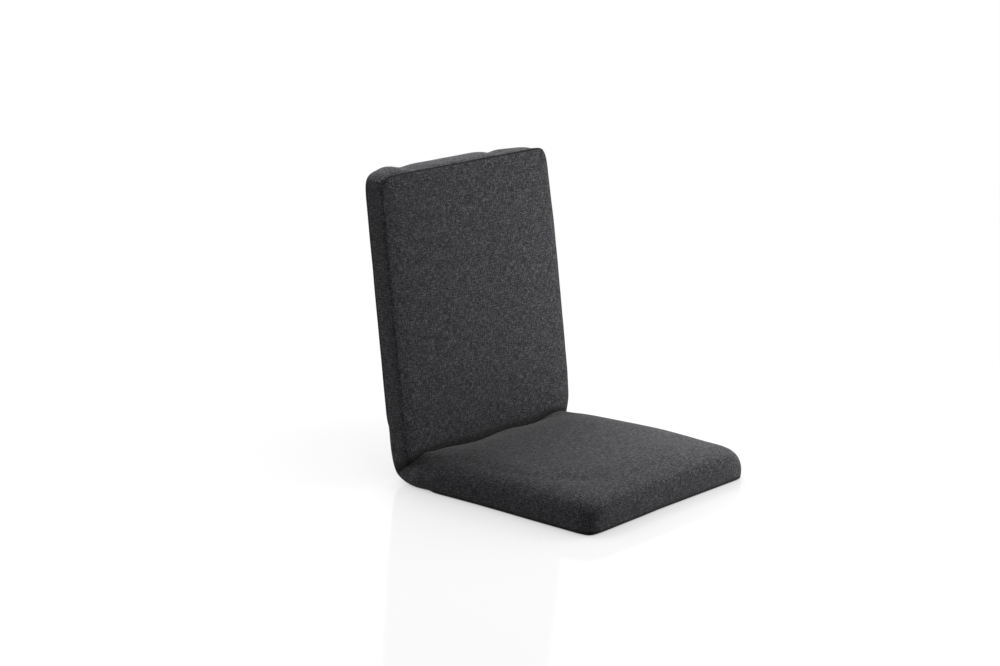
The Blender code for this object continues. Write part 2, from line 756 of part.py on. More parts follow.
def zip_slider(slider_axis, chain_half):
    """Slider with a channel over the chain and two drilled ears on its lower side."""
    groove = chain_half + GAP
    roof = -CHAIN_PROUD - GAP
    half = SLIDER_WIDTH / 2
    section = [(-half, -GAP), (-half, -SLIDER_PROUD), (half, -SLIDER_PROUD), (half, -GAP), (groove, -GAP),
               (groove, roof), (-groove, roof), (-groove, -GAP)]
    body = welded_mesh("zip_slider", flat_curve("zip_slider", [section], SLIDER_LENGTH))
    slider = add_piece("zip_slider", body, slider_axis, ZINC_STEEL, (0, 0, 0), PLATE_TURN)
    pin_y, pin_z = PULL_PIN_PLACE
    root = (half + groove) / 2
    ear = [(root, -SLIDER_PROUD), (pin_y, -SLIDER_PROUD)]
    ear += arc(PULL_PIN_PLACE, SLIDER_PROUD + pin_z, -90, 90, 6)[1:]
    ear.append((root, pin_z + SLIDER_PROUD + pin_z))
    for side, sign in SIDES:
        name = f"zip_ear_{side}"
        lug = welded_mesh(name, flat_curve(name, [ear, circle(PULL_PIN_PLACE, PULL_PIN + GAP)], EAR_THICK))
        join(slider, name, lug, (sign * (SLIDER_LENGTH - EAR_THICK) / 2, 0, 0), PLATE_TURN)


def zip_pull(slider_axis):
    """Flat tab with a cross pin that turns in the slider's ears; it lies along the rear panel."""
    pull_axis = empty("zip_pull_axis", slider_axis, (0, *PULL_PIN_PLACE))
    half = PULL_WIDTH / 2
    tip = PULL_LENGTH - half
    outline = [(-half, 0), (half, 0)] + arc((0, tip), half, 0, 180, 6)
    tab = welded_mesh("zip_pull", flat_curve("zip_pull", [outline, circle((0, tip), PULL_EYE)], PULL_THICK))
    pull = add_piece("zip_pull", tab, pull_axis, ZINC_STEEL)
    reach = SLIDER_LENGTH / 2
    pin = tube_mesh("zip_pull_pin", [(-reach, 0, 0), (reach, 0, 0)], PULL_PIN)
    join(pull, "zip_pull_pin", pin)


def build_pad(pad, parent, cover, foam, core, frame, rail):
    pad_cover(cover, pad, parent)
    pad_foam(foam, pad, parent)
    pad_core(core, pad, parent)
    pad_frame(frame, pad, parent)
    cross_rail(rail, pad, parent)
    webbing(pad, parent)


def build():
    seat = Pad("seat", SEAT_LENGTH, SEAT_FACE, SEAT_BASE, SEAT_CROWN, SEAT_ROLL, 0.0, SEAT_TUBE_X,
               SEAT_TUBE_DROP, SEAT_STRAPS)
    back = Pad("back", BACK_LENGTH, BACK_FACE, BACK_BASE, BACK_CROWN, BACK_ROLL, TOP_PUFF, BACK_TUBE_X,
               BACK_TUBE_DROP, BACK_STRAPS)
    seat_axis = empty("seat_axis", None, HINGE_AXIS)
    back_axis = empty("back_axis", None, HINGE_AXIS, (math.radians(-UPRIGHT), 0, math.radians(180)))
    build_pad(seat, seat_axis, "seat_cover_top", "seat_foam_top", "seat_foam_core", "seat_frame",
              "seat_cross_rail")
    build_pad(back, back_axis, "back_cover_front", "back_foam_front", "back_foam_core", "back_frame",
              "back_cross_rail")
    half = HALF - HEM_SETBACK
    seat_outline = far_rounded(half, PAD_START + GAP, SEAT_LENGTH - HEM_SETBACK, CORNER_RADIUS)
    panel("seat_cover_base", seat_axis, BASE_CLOTH, seat_outline, -SEAT_BASE, -SEAT_BASE + FABRIC)
    panel("back_cover_rear", back_axis, MELANGE_CLOTH, rear_panel_outline(half), -BACK_BASE,
          -BACK_BASE + FABRIC)
    hinge_sleeve("hinge_sleeve", seat, back, seat_axis)
    for side, sign in SIDES:
        hinge(side, sign, seat_axis, back_axis)
    zip_fastener(back_axis)


clear_scene()
PARTS = new_collection("folding_floor_chair")
CUTTERS = new_collection("cutters")
build()
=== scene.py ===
"""Looks of a legless folding floor chair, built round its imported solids.

The sewn cover is one closed form: a straight padded mat that is folded at the crease, inflated as
cloth and then given its seams. The sitter faces -Y and the floor is at z = 0.
"""

import json
import math

import bmesh
import bpy
import numpy as np
from bpy.props import FloatProperty, FloatVectorProperty, PointerProperty
from mathutils import Matrix, Quaternion, Vector, noise


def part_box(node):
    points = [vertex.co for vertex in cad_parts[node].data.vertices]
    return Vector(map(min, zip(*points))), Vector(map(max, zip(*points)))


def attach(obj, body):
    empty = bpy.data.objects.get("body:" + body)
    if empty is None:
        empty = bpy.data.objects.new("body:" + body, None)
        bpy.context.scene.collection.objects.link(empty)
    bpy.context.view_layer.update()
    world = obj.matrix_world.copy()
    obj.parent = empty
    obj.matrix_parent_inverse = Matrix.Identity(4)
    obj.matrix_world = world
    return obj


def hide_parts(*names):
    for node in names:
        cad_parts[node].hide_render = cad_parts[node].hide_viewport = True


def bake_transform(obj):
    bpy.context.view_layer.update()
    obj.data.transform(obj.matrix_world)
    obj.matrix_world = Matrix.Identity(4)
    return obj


bl_info = {
    "name": "Folding floor chair",
    "version": (1, 0, 0),
    "blender": (4, 5, 0),
    "location": "View3D > Sidebar > Floor chair",
    "description": "Builds the cover, padding, zip and finishes of a folding floor chair",
    "category": "Object",
}

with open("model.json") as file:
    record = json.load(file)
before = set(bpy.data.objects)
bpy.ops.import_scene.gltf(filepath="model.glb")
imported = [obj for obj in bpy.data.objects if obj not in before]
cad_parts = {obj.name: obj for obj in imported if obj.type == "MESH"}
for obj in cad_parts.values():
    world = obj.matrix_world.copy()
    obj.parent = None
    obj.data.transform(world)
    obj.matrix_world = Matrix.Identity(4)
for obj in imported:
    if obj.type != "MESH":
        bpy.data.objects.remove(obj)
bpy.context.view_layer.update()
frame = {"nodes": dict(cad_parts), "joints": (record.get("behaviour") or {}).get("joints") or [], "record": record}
NODES = frame["nodes"]
JOINTS = {joint["name"]: joint for joint in frame["joints"]}
AXIS = Vector(JOINTS["back_fold"]["pos_m"])
UPRIGHT = math.radians(JOINTS["back_fold"]["range_deg"][1])

# Directions in the side view: along the seat, up the back, from the back's face to its rear, and
# from the seat's side of the fold to the back's
ALONG_SEAT = Vector((0, 1, 0))
DOWN = Vector((0, 0, -1))
UP_BACK = Vector((0, math.cos(UPRIGHT), math.sin(UPRIGHT)))
TO_REAR = Vector((0, UP_BACK.z, -UP_BACK.y))
ACROSS_FOLD = (UP_BACK + ALONG_SEAT).normalized()

# A Mix node used for colours: its inputs are then 6 and 7, and its output is 2
TINT = {"output": 2, "data_type": "RGBA"}

# Frames for which the cloth is inflated, and rounds in which its moves are evened out
SETTLE_FRAMES = 20
EVEN_ROUNDS = 240
# Seams stop this far from the crease, because the cloth runs on over the fold
SEAM_START = 0.04
# Width of the strip over a hinge where the cloth can't be drawn in
HINGE_REACH = 0.030
# How sharply the cage's edges are creased before it is rounded
HEM_SHARP, TOP_SHARP, RIM_SHARP, FOLD_SHARP = 0.7, 0.6, 0.3, 0.8

# Camera and key light, as fitted to the photo
CAMERA_PLACE = (-3.41309, -2.93749, 1.44090)
CAMERA_AIM = Vector((0.71308, 0.65754, -0.24321))
KEY_AIM = Vector((-0.18, -0.73, -0.65))
KEY_SPREAD = math.radians(60)
# The floor as the camera sees it: how far round a piece its glow is greyed by ambient occlusion, a painted soft
# shadow, and by how much at most, how bright it is, how much of it is glowing white, how much is mirror and how
# blurred that is
PAINTED_SHADOW_REACH, PAINTED_SHADOW_MOST = 0.7, 0.45
FLOOR_GLOW, GLOW_SHARE = 1.21, 0.75
MIRROR_SHARE, MIRROR_BLUR = 0.10, 0.10


def linear(code):
    """Linear colour of an sRGB hex code."""
    channels = [int(code[at:at + 2], 16) / 255 for at in (1, 3, 5)]
    return tuple(c / 12.92 if c <= 0.04045 else ((c + 0.055) / 1.055) ** 2.4 for c in channels)


def number(name, description, default, **kind):
    return FloatProperty(name=name, description=description, default=default, **kind)


def length(name, description, default):
    return number(name, description, default, unit="LENGTH", precision=4)


def colour(name, description, code):
    return FloatVectorProperty(name=name, description=description, default=linear(code), subtype="COLOR",
                               min=0, max=1)


class FloorChairCover(bpy.types.PropertyGroup):
    """Sizes and colours of the sewn cover."""

    width: length("Width", "Width of both pads", 0.500)
    seat_depth: length("Seat depth", "From the crease to the seat's front edge", 0.4726)
    back_height: length("Back height", "From the crease to the back's front seam", 0.5624)
    seat_face: length("Seat face", "Height of the seat's face above the hinge axis", 0.024)
    back_face: length("Back face", "Distance of the back's face from the hinge axis", 0.014)
    seat_thick: length("Seat thickness", "Thickness of the seat pad", 0.068)
    back_thick: length("Back thickness", "Thickness of the back pad", 0.054)
    seat_roll: length("Seat roll", "Radius of the seat's rolled upper edge", 0.026)
    back_roll: length("Back roll", "Radius of the back's front edge", 0.010)
    seat_border: length("Seat border", "Width of the border in which the seat's face turns down", 0.040)
    back_border: length("Back border", "Width of the border in which the back's face turns down", 0.026)
    seat_crown: length("Seat crown", "Swell of the seat's face", 0.008)
    back_crown: length("Back crown", "Swell of the back's face", 0.007)
    swell: length("Swell", "Most that inflating may move the cloth", 0.006)
    slack: length("Slack", "How much smaller the cloth is before it is inflated", 0.003)
    sink: length("Crease sink", "How far the seat's face falls where it meets the back", 0.010)
    end_sink: length("End sink", "How much further the crease falls at its two ends", 0.011)
    groove: length("Crease depth", "How far the cloth is drawn into the crease", 0.008)
    cut: length("Crease cut", "Depth of the narrow cut at the bottom of the crease", 0.005)
    side_groove: length("Side crease", "How far the side walls are drawn in at the crease", 0.013)
    flare: length("Flare", "How much wider each side is at the fold, where the filling is squeezed", 0.004)
    crease_wave: length("Crease wave", "Rise and fall of the crease across the chair", 0.003)
    puff: length("Top puff", "Rise of the back's top edge behind its front seam", 0.010)
    droop: length("Top droop", "How much lower the top edge is at its slack end", 0.008)
    pucker: length("Top pucker", "Depth of the two dips in the back's top edge", 0.0045)
    dog_ear: length("Dog-ear", "Height of the full corner of the top edge", 0.004)
    uneven: length("Unevenness", "Low lumps of the filling under the cloth", 0.0008)
    seam_depth: length("Seam depth", "How far a seam is drawn in", 0.0016)
    yarn_dark: colour("Dark yarn", "Darkest yarn of the melange", "#1f1f21")
    yarn_mid: colour("Middle yarn", "Most common yarn of the melange", "#3f3f42")
    yarn_pale: colour("Pale yarn", "Pale flecks of the melange", "#78787b")
    base_cloth: colour("Base cloth", "Non-woven cloth under the seat", "#1d1d1f")


class FloorChairInside(bpy.types.PropertyGroup):
    """Sizes and colours of what the cover hides, and of its zip."""

    foam: colour("Foam", "Open-cell foam", "#e3dcc4")
    webbing: colour("Webbing", "Elastic webbing", "#2a2a2a")
    webbing_line: colour("Webbing line", "Pale lines woven into the webbing", "#8d8d8a")
    powder: colour("Powder coat", "Satin coat of the tubes", "#1f1f21")
    zinc: colour("Zinc", "Zinc plate of the hinges and rivets", "#b9bbba")
    spring: colour("Spring steel", "Hardened pawls and springs", "#6a6c70")
    nylon: colour("Nylon", "Zip coil and tape", "#1a1a1b")
    strap_width: length("Strap width", "Width of a webbing strap", 0.040)
    strap_thick: length("Strap thickness", "Thickness of the webbing", 0.0014)
    strap_sag: length("Strap sag", "How far a strap hangs between the tubes", 0.0015)
    zip_place: length("Zip place", "From the hinge axis up the back to the zip's chain", 0.579)
    zip_plane: length("Zip plane", "From the hinge axis to the rear face", 0.040)
    zip_half: length("Zip half length", "Half the length of the tape", 0.210)
    tape_half: length("Tape half width", "Half the width of the tape that shows", 0.0075)
    tooth_pitch: length("Tooth pitch", "Distance between turns of the zip coil", 0.0030)
    tooth_wire: length("Tooth wire", "Radius of the coil's wire", 0.0007)


class FloorChairStage(bpy.types.PropertyGroup):
    """Camera, floor and light."""

    floor: colour("Floor", "White glossy floor", "#ffffff")
    bounce: colour("Bounce", "Floor as other pieces see it", "#c0c0c0")
    lens: number("Lens", "Focal length on a 36 mm sensor", 83.48, subtype="DISTANCE_CAMERA")
    roll: number("Roll", "Tilt of the camera about its own axis", math.radians(-0.318), subtype="ANGLE")
    sky: number("Sky", "Even light from all round", 0.05)
    key: number("Key", "Soft light from high behind the chair", 2.05)
    side: number("Side", "Power of the near softbox on the right", 8.2, unit="POWER")
    edge: number("Edge", "Power of the small softbox over the back's top edge", 1.5, unit="POWER")


def node(tree, kind, inputs=None, output=0, **settings):
    """Add a node and give one of its outputs; inputs maps a socket to a value or to another node's output."""
    made = tree.nodes.new(kind)
    for name, value in settings.items():
        setattr(made, name, value)
    for socket, value in (inputs or {}).items():
        if isinstance(value, bpy.types.NodeSocket):
            tree.links.new(value, made.inputs[socket])
        else:
            made.inputs[socket].default_value = value
    return made.outputs[output]


def opaque(shade):
    return (*shade, 1.0)


def new_material(name, **sockets):
    """A node material and its tree. Even values go straight on its shader's sockets."""
    material = bpy.data.materials.new(name)
    material.use_nodes = True
    tree = material.node_tree
    shader = tree.nodes["Principled BSDF"]
    for socket, value in sockets.items():
        shader.inputs[socket.replace("_", " ")].default_value = value
    return material, tree


def wired(material, **sources):
    """The material, with other nodes' outputs linked to its shader's sockets."""
    tree = material.node_tree
    for socket, source in sources.items():
        tree.links.new(source, tree.nodes["Principled BSDF"].inputs[socket.replace("_", " ")])
    return material


def per_metre(millimetres):
    """Texture scale at which one feature takes that many millimetres."""
    return 1000.0 / millimetres


def melange_cloth(sizes):
    """Woven polyester in dyed-apart yarns: matt, with short pale and dark dashes along both threads.

    The real threads are about 0.5 mm apart, too fine to show, so they are drawn 2.8 mm apart.
    """
    material, tree = new_material("melange woven polyester", Roughness=0.92, IOR=1.45,
                                  Specular_IOR_Level=0.25, Sheen_Weight=0.15, Sheen_Roughness=0.45)
    flat = node(tree, "ShaderNodeUVMap", uv_map="cloth")
    thread, dash, patchy = per_metre(2.8), per_metre(11.0), 0.07
    yarns = []
    for scale in ((thread, dash, 1), (dash, thread, 1)):
        run = node(tree, "ShaderNodeMapping", {"Vector": flat, "Scale": scale})
        yarns.append(node(tree, "ShaderNodeTexNoise", {"Vector": run, "Scale": 1.0, "Detail": 2.0,
                                                       "Roughness": 0.6}))
    cells = node(tree, "ShaderNodeMapping", {"Vector": flat, "Scale": (thread, thread, 1)})
    weave = node(tree, "ShaderNodeTexChecker", {"Vector": cells, "Scale": 1.0}, "Fac")
    yarn = node(tree, "ShaderNodeMix", {"Factor": weave, "A": yarns[0], "B": yarns[1]})
    blotch = node(tree, "ShaderNodeTexNoise", {"Vector": flat, "Scale": per_metre(25.0), "Detail": 3.0})
    uneven = node(tree, "ShaderNodeMath", {0: blotch, 1: 2 * patchy, 2: -patchy}, operation="MULTIPLY_ADD")
    total = node(tree, "ShaderNodeMath", {0: yarn, 1: uneven}, operation="ADD")
    ramp = node(tree, "ShaderNodeValToRGB", {"Fac": total})
    stops = ramp.node.color_ramp.elements
    stops[0].position, stops[0].color = 0.34, opaque(sizes.yarn_dark)
    stops[1].position, stops[1].color = 0.68, opaque(sizes.yarn_pale)
    stops.new(0.50).color = opaque(sizes.yarn_mid)
    # the seam attribute darkens the cloth towards near black: dark seam lines, with painted shade in the crease, a
    # painted contact shadow at the hem and painted shade along the back's right rim
    seam = node(tree, "ShaderNodeAttribute", output="Fac", attribute_name="seam")
    tone = node(tree, "ShaderNodeMix", {"Factor": seam, 6: ramp, 7: opaque(linear("#101011"))}, **TINT)
    bump = node(tree, "ShaderNodeBump", {"Height": total, "Strength": 0.5, "Distance": 0.0010})
    return wired(material, Base_Color=tone, Normal=bump)


def spunbond_cloth(sizes):
    """Spunbond polypropylene under the seat: dull black, pressed with a grid of bonding dots."""
    material, tree = new_material("spunbond polypropylene", Roughness=0.85)
    place = node(tree, "ShaderNodeTexCoord", output="Object")
    dots = node(tree, "ShaderNodeTexVoronoi", {"Vector": place, "Scale": per_metre(2.4), "Randomness": 0.15})
    fibre = node(tree, "ShaderNodeTexNoise", {"Vector": place, "Scale": per_metre(1.5), "Detail": 3.0})
    tone = node(tree, "ShaderNodeMix", {"Factor": fibre, 6: opaque(sizes.base_cloth),
                                        7: opaque(linear("#3a3a3d"))}, **TINT)
    bump = node(tree, "ShaderNodeBump", {"Height": dots, "Strength": 0.4, "Distance": 0.0006})
    return wired(material, Base_Color=tone, Normal=bump)


def open_cell_foam(shade):
    """Polyurethane foam cut from a block: cream, dull, with fine open pores and yellowed patches."""
    material, tree = new_material("polyurethane foam", Roughness=0.95, IOR=1.40)
    place = node(tree, "ShaderNodeTexCoord", output="Object")
    pores = node(tree, "ShaderNodeTexVoronoi", {"Vector": place, "Scale": per_metre(1.8)})
    patch = node(tree, "ShaderNodeTexNoise", {"Vector": place, "Scale": per_metre(90.0), "Detail": 4.0})
    tone = node(tree, "ShaderNodeMix", {"Factor": patch, 6: opaque(shade),
                                        7: opaque(linear("#d6c79a"))}, **TINT)
    bump = node(tree, "ShaderNodeBump", {"Height": pores, "Strength": 0.6, "Distance": 0.0008})
    return wired(material, Base_Color=tone, Normal=bump)


def elastic_webbing(sizes):
    """Rubber-cored polyester webbing: ribbed across, with two pale lines along its length."""
    material, tree = new_material("elastic webbing", Roughness=0.80, IOR=1.50, Sheen_Weight=0.1)
    flat = node(tree, "ShaderNodeUVMap", uv_map="strap")
    across = node(tree, "ShaderNodeSeparateXYZ", {"Vector": flat}, "Y")
    ribs = node(tree, "ShaderNodeTexWave", {"Vector": flat, "Scale": per_metre(1.8) / (2 * math.pi),
                                            "Distortion": 0.4}, "Fac", bands_direction="X")
    line_place, line_half = 0.010, 0.0014
    lines = [node(tree, "ShaderNodeMath", {0: across, 1: place, 2: line_half}, operation="COMPARE")
             for place in (line_place, -line_place)]
    either = node(tree, "ShaderNodeMath", {0: lines[0], 1: lines[1]}, operation="MAXIMUM")
    tone = node(tree, "ShaderNodeMix", {"Factor": either, 6: opaque(sizes.webbing),
                                        7: opaque(sizes.webbing_line)}, **TINT)
    bump = node(tree, "ShaderNodeBump", {"Height": ribs, "Strength": 0.5, "Distance": 0.0006})
    return wired(material, Base_Color=tone, Normal=bump)


def powder_coat(shade):
    """Powder-coated steel tube: satin, with the fine orange peel of baked powder."""
    material, tree = new_material("powder-coated steel", IOR=1.50)
    place = node(tree, "ShaderNodeTexCoord", output="Object")
    peel = node(tree, "ShaderNodeTexNoise", {"Vector": place, "Scale": per_metre(1.6), "Detail": 2.0})
    haze = node(tree, "ShaderNodeTexNoise", {"Vector": place, "Scale": per_metre(40.0), "Detail": 4.0})
    gloss = node(tree, "ShaderNodeMapRange", {"Value": haze, "To Min": 0.36, "To Max": 0.52})
    tone = node(tree, "ShaderNodeMix", {"Factor": haze, 6: opaque(shade), 7: opaque(linear("#2b2b2d"))}, **TINT)
    bump = node(tree, "ShaderNodeBump", {"Height": peel, "Strength": 0.25, "Distance": 0.0004})
    return wired(material, Base_Color=tone, Roughness=gloss, Normal=bump)


def plated_steel(name, shade, worn, grain):
    """Steel finished with a lengthwise grain: bright where rubbed, duller and greyer in patches."""
    material, tree = new_material(name, Metallic=1.0)
    place = node(tree, "ShaderNodeTexCoord", output="Object")
    fine, stretch = per_metre(grain), 12
    drawn = node(tree, "ShaderNodeMapping", {"Vector": place, "Scale": (fine, fine, fine / stretch)})
    lines = node(tree, "ShaderNodeTexNoise", {"Vector": drawn, "Scale": 1.0, "Detail": 3.0})
    patch = node(tree, "ShaderNodeTexNoise", {"Vector": place, "Scale": per_metre(18.0), "Detail": 4.0})
    gloss = node(tree, "ShaderNodeMapRange", {"Value": patch, "To Min": 0.24, "To Max": 0.46})
    tone = node(tree, "ShaderNodeMix", {"Factor": patch, 6: opaque(shade), 7: opaque(linear(worn))}, **TINT)
    bump = node(tree, "ShaderNodeBump", {"Height": lines, "Strength": 0.15, "Distance": 0.0002})
    return wired(material, Base_Color=tone, Roughness=gloss, Normal=bump)


def zip_nylon(shade):
    """Woven nylon tape and moulded nylon coil: black, slightly glossy on the coil's turns."""
    material, tree = new_material("nylon", IOR=1.53)
    place = node(tree, "ShaderNodeTexCoord", output="Object")
    rows = node(tree, "ShaderNodeTexWave", {"Vector": place, "Scale": per_metre(1.2) / (2 * math.pi),
                                            "Distortion": 1.0}, "Fac", bands_direction="Z")
    gloss = node(tree, "ShaderNodeMapRange", {"Value": rows, "To Min": 0.42, "To Max": 0.60})
    tone = node(tree, "ShaderNodeMix", {"Factor": rows, 6: opaque(shade), 7: opaque(linear("#2c2c2e"))}, **TINT)
    bump = node(tree, "ShaderNodeBump", {"Height": rows, "Strength": 0.3, "Distance": 0.0003})
    return wired(material, Base_Color=tone, Roughness=gloss, Normal=bump)


def put(name, data):
    """Put data into the scene as an object."""
    made = bpy.data.objects.new(name, data)
    bpy.context.scene.collection.objects.link(made)
    return made


def mesh_object(name, bm):
    """Put a finished bmesh into the scene."""
    mesh = bpy.data.meshes.new(name)
    bm.to_mesh(mesh)
    bm.free()
    return put(name, mesh)


def settle(made):
    """Apply an object's modifiers to its mesh."""
    ready = made.evaluated_get(bpy.context.evaluated_depsgraph_get())
    mesh = bpy.data.meshes.new_from_object(ready)
    made.modifiers.clear()
    old = made.data
    made.data = mesh
    bpy.data.meshes.remove(old)


def vectors(items, name):
    """A vector of each of a mesh's items, one to a row."""
    flat = np.empty(len(items) * 3, np.float32)
    items.foreach_get(name, flat)
    return flat.reshape(-1, 3).astype(float)


def points_of(mesh):
    return vectors(mesh.vertices, "co")


def normals_of(mesh):
    return vectors(mesh.vertex_normals, "vector")


def set_points(mesh, points):
    mesh.vertices.foreach_set("co", points.astype(np.float32).ravel())
    mesh.update()


def bell(distance, width):
    return np.exp(-(distance / width) ** 2)


def share_of(value, start, reach):
    """How far a value has come on its way from start to start + reach, from zero to one."""
    return np.clip((value - start) / reach, 0.0, 1.0)


def eased(value, start, reach):
    """The same share with a soft start and end."""
    share = share_of(value, start, reach)
    return share * share * (3 - 2 * share)


def over_hinge(x, width):
    """One over the two hinges, where the cloth can't be drawn in far, and zero away from them."""
    return bell(np.abs(x) - JOINTS["pawl_left_lift"]["pos_m"][0], width)


class Mat:
    """The straight mat and the way it is folded into a chair."""

    # where the bend starts before the crease and ends after it, and how much fuller it is outside
    seat_bend = 0.042
    back_bend = 0.038
    fullness = 0.14
    # depths of a wall's rows: the first two in rolls, the third as a share of the thickness left below it
    edge_drop = 0.35
    wall_top = 1.2
    wall_low = 0.30
    # how far a wall stands out between its seams and lies back at them, and the back's share of that
    bulge = 0.003
    setback = 0.002
    back_walls = 0.4
    # widths of the crease on the face and on the walls, and of the dip of the seat's face into it
    crease_width = 0.012
    side_width = 0.016
    sink_width = 0.040
    # share of that dip that the hinges take away, and the share of the half width where its ends begin
    hinge_hold = 0.70
    sink_ends = 0.88
    # how far each level of a corner lies in from the side and from the end
    front_corner = ((0.014, 0.014), (0.008, 0.008), (0.003, 0.003), (0.0, 0.0))
    top_corner = ((0.008, 0.007), (0.006, 0.010), (0.004, 0.012), (0.004, 0.012))
    corner_drop = 0.006
    # the seat's front stands further out at -X, and the back's front edge is drawn in at +X near the top
    skew = 0.007
    top_draw = 0.005
    draw_start = 0.40
    draw_reach = 0.14
    # share of the top edge's puff that each level takes
    puff_shares = (0, 0.5, 1, 1)
    # the wave of the seat's side edges: height, length, start, and where it dies out at either end
    edge_wave = 0.003
    wave_length = 0.42
    wave_start = -0.165
    wave_front = 0.12
    wave_fold = 0.03

    def __init__(self, sizes):
        self.sizes = sizes
        self.half = sizes.width / 2
        self.across = np.linspace(-1, 1, 12)
        front, top = -sizes.seat_depth, sizes.back_height
        self.along = [front, *np.linspace(front + sizes.seat_border, -0.052, 11), -0.026, -0.010, 0.0,
                      0.010, 0.026, *np.linspace(0.052, top - sizes.back_border, 13), top]
        self.levels = 3
        angle = math.pi - UPRIGHT
        reach = (sizes.back_face + sizes.seat_face * math.cos(angle)) / math.sin(angle)
        self.crease = AXIS + Vector((0, -reach, sizes.seat_face))

    def turned(self, along):
        """How far a place along the mat has turned from the seat's direction to the back's."""
        return float(eased(along, -self.seat_bend, self.seat_bend + self.back_bend))

    def between(self, seat, back, along):
        share = self.turned(along)
        return seat * (1 - share) + back * share

    def crown(self, x, along):
        """Swell of a face, which dies out at its four edges."""
        sizes = self.sizes
        swell, reach = sizes.back_crown, sizes.back_height
        if along < 0:
            swell, reach = sizes.seat_crown, -sizes.seat_depth
        across = 1 - abs(x / self.half) ** 3
        lengthwise = 1 - abs(2 * along / reach - 1) ** 4
        return swell * max(across, 0) * max(lengthwise, 0)

    def flare(self, along):
        """Extra half width near the fold, which dies out at the back's top and half way along the seat."""
        reach = self.sizes.back_height if along > 0 else self.sizes.seat_depth / 2
        return self.sizes.flare * max(1 - abs(along) / reach, 0)

    def edge_fall(self, along):
        """How much lower the seat's side edges lie near the fold. Half way along they lie as much higher."""
        if along > 0:
            return 0.0
        ends = float(eased(along, -self.sizes.seat_depth, self.wave_front))
        ends *= 1 - float(bell(along, self.wave_fold))
        return self.edge_wave * math.sin(2 * math.pi * (along - self.wave_start) / self.wave_length) * ends

    def place(self, column, row, level):
        """Distance across, distance along and depth of one vertex of the straight mat."""
        sizes = self.sizes
        along = self.along[row]
        side = column in (0, len(self.across) + 1)
        x = self.half - (0 if side else self.between(sizes.seat_border, sizes.back_border, along))
        x *= (-1, *self.across, 1)[column]
        front, top = row == 0, row == len(self.along) - 1
        thick = self.between(sizes.seat_thick, sizes.back_thick, along)
        roll = self.between(sizes.seat_roll, sizes.back_roll, along)
        outward = (-self.setback, self.bulge, self.bulge / 2, -self.setback)[level]
        outward *= self.between(1.0, self.back_walls, along)
        fall = self.edge_fall(along) if side or column in (1, len(self.across)) else 0.0
        flat = -self.crown(x, along)
        if side:
            drawn = 0.0
            if x > 0 and level < 2:
                drawn = self.top_draw * float(eased(along, self.draw_start, self.draw_reach))
            x = math.copysign(self.half + outward + self.flare(along) - drawn, x)
        if front:
            along -= outward + self.skew * max(-x / self.half, 0)
        if top:
            along += outward + sizes.puff * self.puff_shares[level]
        if side and (front or top):
            inward, back = (self.front_corner if front else self.top_corner)[level]
            x -= math.copysign(inward, x)
            along += back * (1 if front else -1)
        edge = self.edge_drop * roll if side or front or top else flat
        if side and front:
            edge += self.corner_drop
        depth = (edge + fall, self.wall_top * roll + fall / 2, (1 - self.wall_low) * thick, thick)[level]
        return x, along, depth

    def folded(self, x, along, depth):
        """Where a point of the straight mat lies in the chair."""
        share = self.turned(along)
        turn = UPRIGHT * share
        depth *= 1 + self.fullness * math.sin(math.pi * share)
        inward = Vector((0, math.sin(turn), -math.cos(turn)))
        run = UP_BACK if along > 0 else ALONG_SEAT
        near_face = max(1 - max(depth, 0) / self.sizes.back_thick, 0)
        ends = float(eased(abs(x) / self.half, self.sink_ends, 1 - self.sink_ends))
        sunk = self.sizes.sink * (1 - self.hinge_hold * float(over_hinge(x, HINGE_REACH))) * near_face
        sunk += self.sizes.end_sink * ends * (0.5 + 0.5 * near_face)
        sunk *= float(bell(along, self.sink_width))
        return Vector((x, 0, 0)) + self.crease + run * along + inward * depth - UP_BACK * sunk


def grown_box(bm, cells):
    """Make a closed box cut into a grid of cells, and give each vertex's place in the grid."""
    bmesh.ops.create_cube(bm, size=2.0)
    for axis, count in enumerate(cells):
        edges = [e for e in bm.edges if abs((e.verts[0].co - e.verts[1].co)[axis]) > 1e-6]
        bmesh.ops.subdivide_edges(bm, edges=edges, cuts=count - 1, use_grid_fill=True)
    places = {}
    for vert in bm.verts:
        column, row, height = (round((c + 1) / 2 * count) for c, count in zip(vert.co, cells))
        places[vert] = (column, row, cells[2] - height)
    return places


